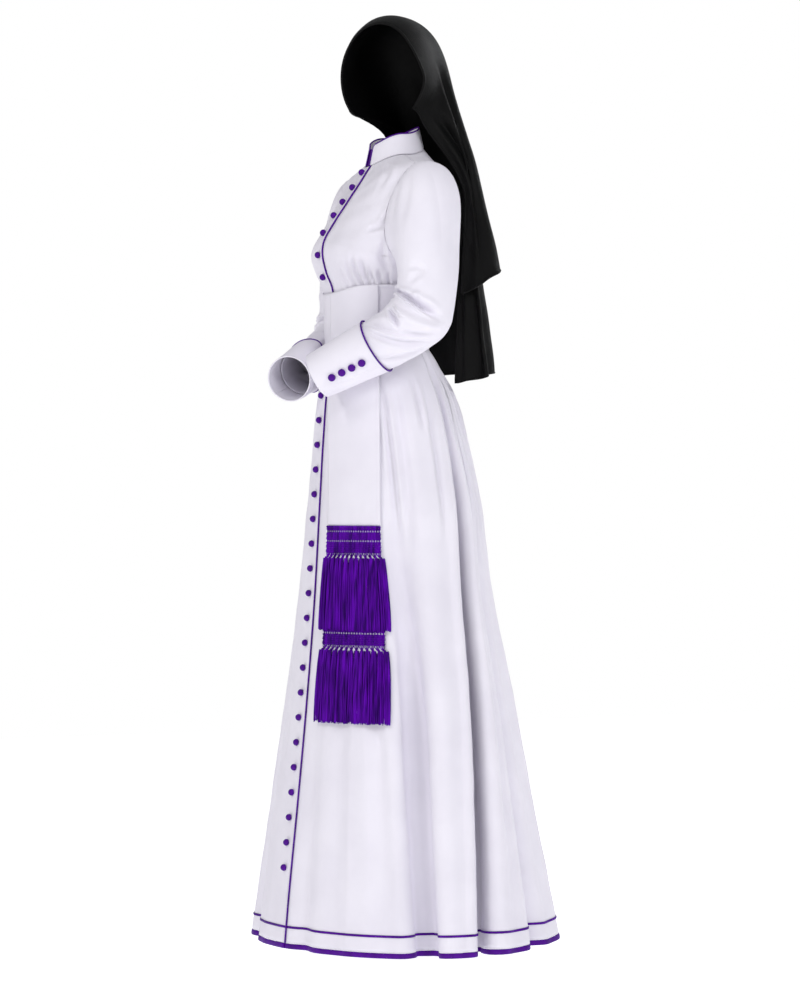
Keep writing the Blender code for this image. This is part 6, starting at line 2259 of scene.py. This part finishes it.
def eased(points, across, down):
    """Carries the cloth from the head into its fall in one smooth line."""
    made, rows = points.copy(), down[:, 0]
    for column, on in enumerate(share_on_head(across)):
        first = max(3, int(np.searchsorted(rows, on * 0.45)))
        last = int(np.searchsorted(rows, on * 1.5 + 0.05))
        start, end = points[first, column], points[last, column]
        t = ((rows[first : last + 1] - rows[first]) / (rows[last] - rows[first]))[:, None]
        span = np.linalg.norm(end - start)
        leaving = unit(start - points[first - 3, column]) * span
        arriving = unit(points[last + 4, column] - end) * span
        made[first : last + 1, column] = hermite(t, start, leaving, end, arriving)
    held = (smooth_step((0.62 - down) / 0.15) * smooth_step(down / 0.03))[..., None]
    for _ in range(14):
        soft = made.copy()
        soft[1:-1, 1:-1] = (made[2:, 1:-1] + made[:-2, 1:-1] + made[1:-1, 2:] + made[1:-1, :-2]) / 4
        made = made + (soft - made) * held
    return made


INNER_VEIL_SIZE = (0.2, 0.4)
INNER_VEIL_FOLDS = [
    # across down across down bow half_width height lean
    (0.72, 0.28, 0.74, 1.20, 0.004, 0.0150, -0.0110, 0.2),
    (0.38, 0.30, 0.36, 1.20, 0.003, 0.0150, 0.0080, 0.0),
    (0.10, 0.34, 0.08, 1.20, 0.003, 0.0140, -0.0090, 0.0),
    (-0.20, 0.30, -0.20, 1.20, -0.003, 0.0150, 0.0070, 0.0),
    (-0.46, 0.34, -0.48, 1.20, -0.003, 0.0140, -0.0090, 0.1),
    (-0.76, 0.30, -0.78, 1.20, -0.003, 0.0150, -0.0080, 0.0),
]


def inner_veil_detail(across, down):
    width, length = INNER_VEIL_SIZE
    soft = waves(across * width, down * length, "veil_inner")
    folds = creases(across, down, INNER_VEIL_FOLDS, INNER_VEIL_SIZE)
    return soft * smooth_step((down - 0.5) / 0.4) + folds


def make_outer_veil(tree, outs):
    """The outer tier, with a rolled hem all round."""
    across, down = VEIL_COLUMNS, np.linspace(0, 1, 141)[:, None]
    grid = pushed_off(outer_veil(across, down), tree, outs, OUTER_VEIL_CLEARANCE)
    points = veil_piece("veil_outer", eased(grid, across, down), veil_detail(across, down))
    rim = np.concatenate([points[:, 0], points[-1, 1:-1], points[::-1, -1], points[0, -2:0:-1]])
    rim = even_line(rim, 0.005)[:-1]
    cord_piece("veil_outer_hem", rim, HEM_RADIUS["outer"], "black_cloth", closed=True, sides=8)


def make_inner_veil(tree, outs):
    """The lower tier, with a rolled hem at its sides and lower edge."""
    across, down = VEIL_COLUMNS, np.linspace(0, 1, 91)[:, None]
    grid = pushed_off(inner_veil(across, down), tree, outs, INNER_VEIL_CLEARANCE)
    points = veil_piece("veil_inner", grid, inner_veil_detail(across, down))
    rim = np.concatenate([points[:, 0], points[-1, 1:-1], points[::-1, -1]])
    cord_piece("veil_inner_hem", even_line(rim, 0.005), HEM_RADIUS["inner"], "black_cloth", sides=8)


def make_veil():
    tree, outs = back_of_robe()
    make_outer_veil(tree, outs)
    make_inner_veil(tree, outs)


# ---------------------------------------------------------------- the whole

make_materials()
make_skirt()
make_bodice()
make_collar()
for arm in ARMS:
    make_sleeve(arm)
    make_cuff(arm)
    make_cuff_buttons(arm)
make_front_piping()
make_hem_trims()
make_front_buttons()
make_sash()
make_veil()


# ---------------------------------------------------------------- cut sizes

CUTS = (
    # node, cut width, cut length, area, how it is held, what it rests on
    ("skirt_front_left", 0.60, 1.12, 0.47, "hung", ("bodice_front_left", "skirt_back")),
    ("skirt_back", 1.20, 1.13, 0.74, "gathered", ("bodice_back", "skirt_front_left")),
    ("skirt_front_right", 0.60, 1.12, 0.47, "hung", ("bodice_front_right", "skirt_back")),
    ("bodice_front_left", 0.24, 0.47, 0.068, "draped", ("bodice_back", "skirt_front_left")),
    ("bodice_back", 0.42, 0.48, 0.125, "draped", ("bodice_front_left", "skirt_back")),
    ("bodice_front_right", 0.24, 0.47, 0.068, "draped", ("bodice_back", "skirt_front_right")),
    ("collar", 0.36, 0.042, 0.0135, "folded", ("bodice_back",)),
    ("collar_underlap", 0.05, 0.034, 0.0016, "folded", ("collar",)),
    ("sleeve_left", 0.48, 0.58, 0.138, "draped", ("bodice_front_left", "cuff_left")),
    ("sleeve_right", 0.48, 0.66, 0.158, "draped", ("bodice_front_right", "cuff_right")),
    ("cuff_left", 0.31, 0.13, 0.036, "folded", ("sleeve_left",)),
    ("cuff_right", 0.28, 0.13, 0.033, "folded", ("sleeve_right",)),
    ("hem_binding", 2.30, 0.012, 0.0240, "folded", ("skirt_back",)),
    ("sash_band", 0.78, 0.185, 0.100, "stretched", ("skirt_back",)),
    ("sash_tail_front", 0.125, 0.445, 0.054, "hung", ("sash_band",)),
    ("sash_tail_back", 0.142, 0.61, 0.076, "hung", ("sash_band",)),
    ("veil_outer", 0.66, 0.66, 0.230, "draped", ("veil_inner",)),
    ("veil_inner", 0.50, 0.50, 0.170, "hung", ("veil_outer",)),
)
ON_CUTS = {
    "skirt_front_left": ("hem_tape_braid",),
    "skirt_front_right": ("front_piping_cord", "front_stitches"),
    "collar": ("collar_binding_cord", "collar_stitches"),
    "cuff_left": ("cuff_piping_left_cord", "cuff_stitches_left"),
    "cuff_right": ("cuff_piping_right_cord", "cuff_stitches_right"),
    "sash_band": ("sash_stitches",),
    "sash_tail_front": ("sash_tail_front_stitches", "fringe_front_yarn", "fringe_front_backing"),
    "sash_tail_back": ("sash_tail_back_stitches", "fringe_back_yarn", "fringe_back_backing"),
    "veil_outer": ("veil_outer_hem",),
    "veil_inner": ("veil_inner_hem",),
}


def declare_cuts():
    for name, width, length, area, held, rests_on in CUTS:
        trims = [PIECES[piece] for piece in ON_CUTS.get(name, ())]
        if name.startswith("cuff_"):
            buttons = name.replace("cuff_", "cuff_button_")
            trims += [piece for key, piece in PIECES.items() if key.startswith(buttons)]


declare_cuts()
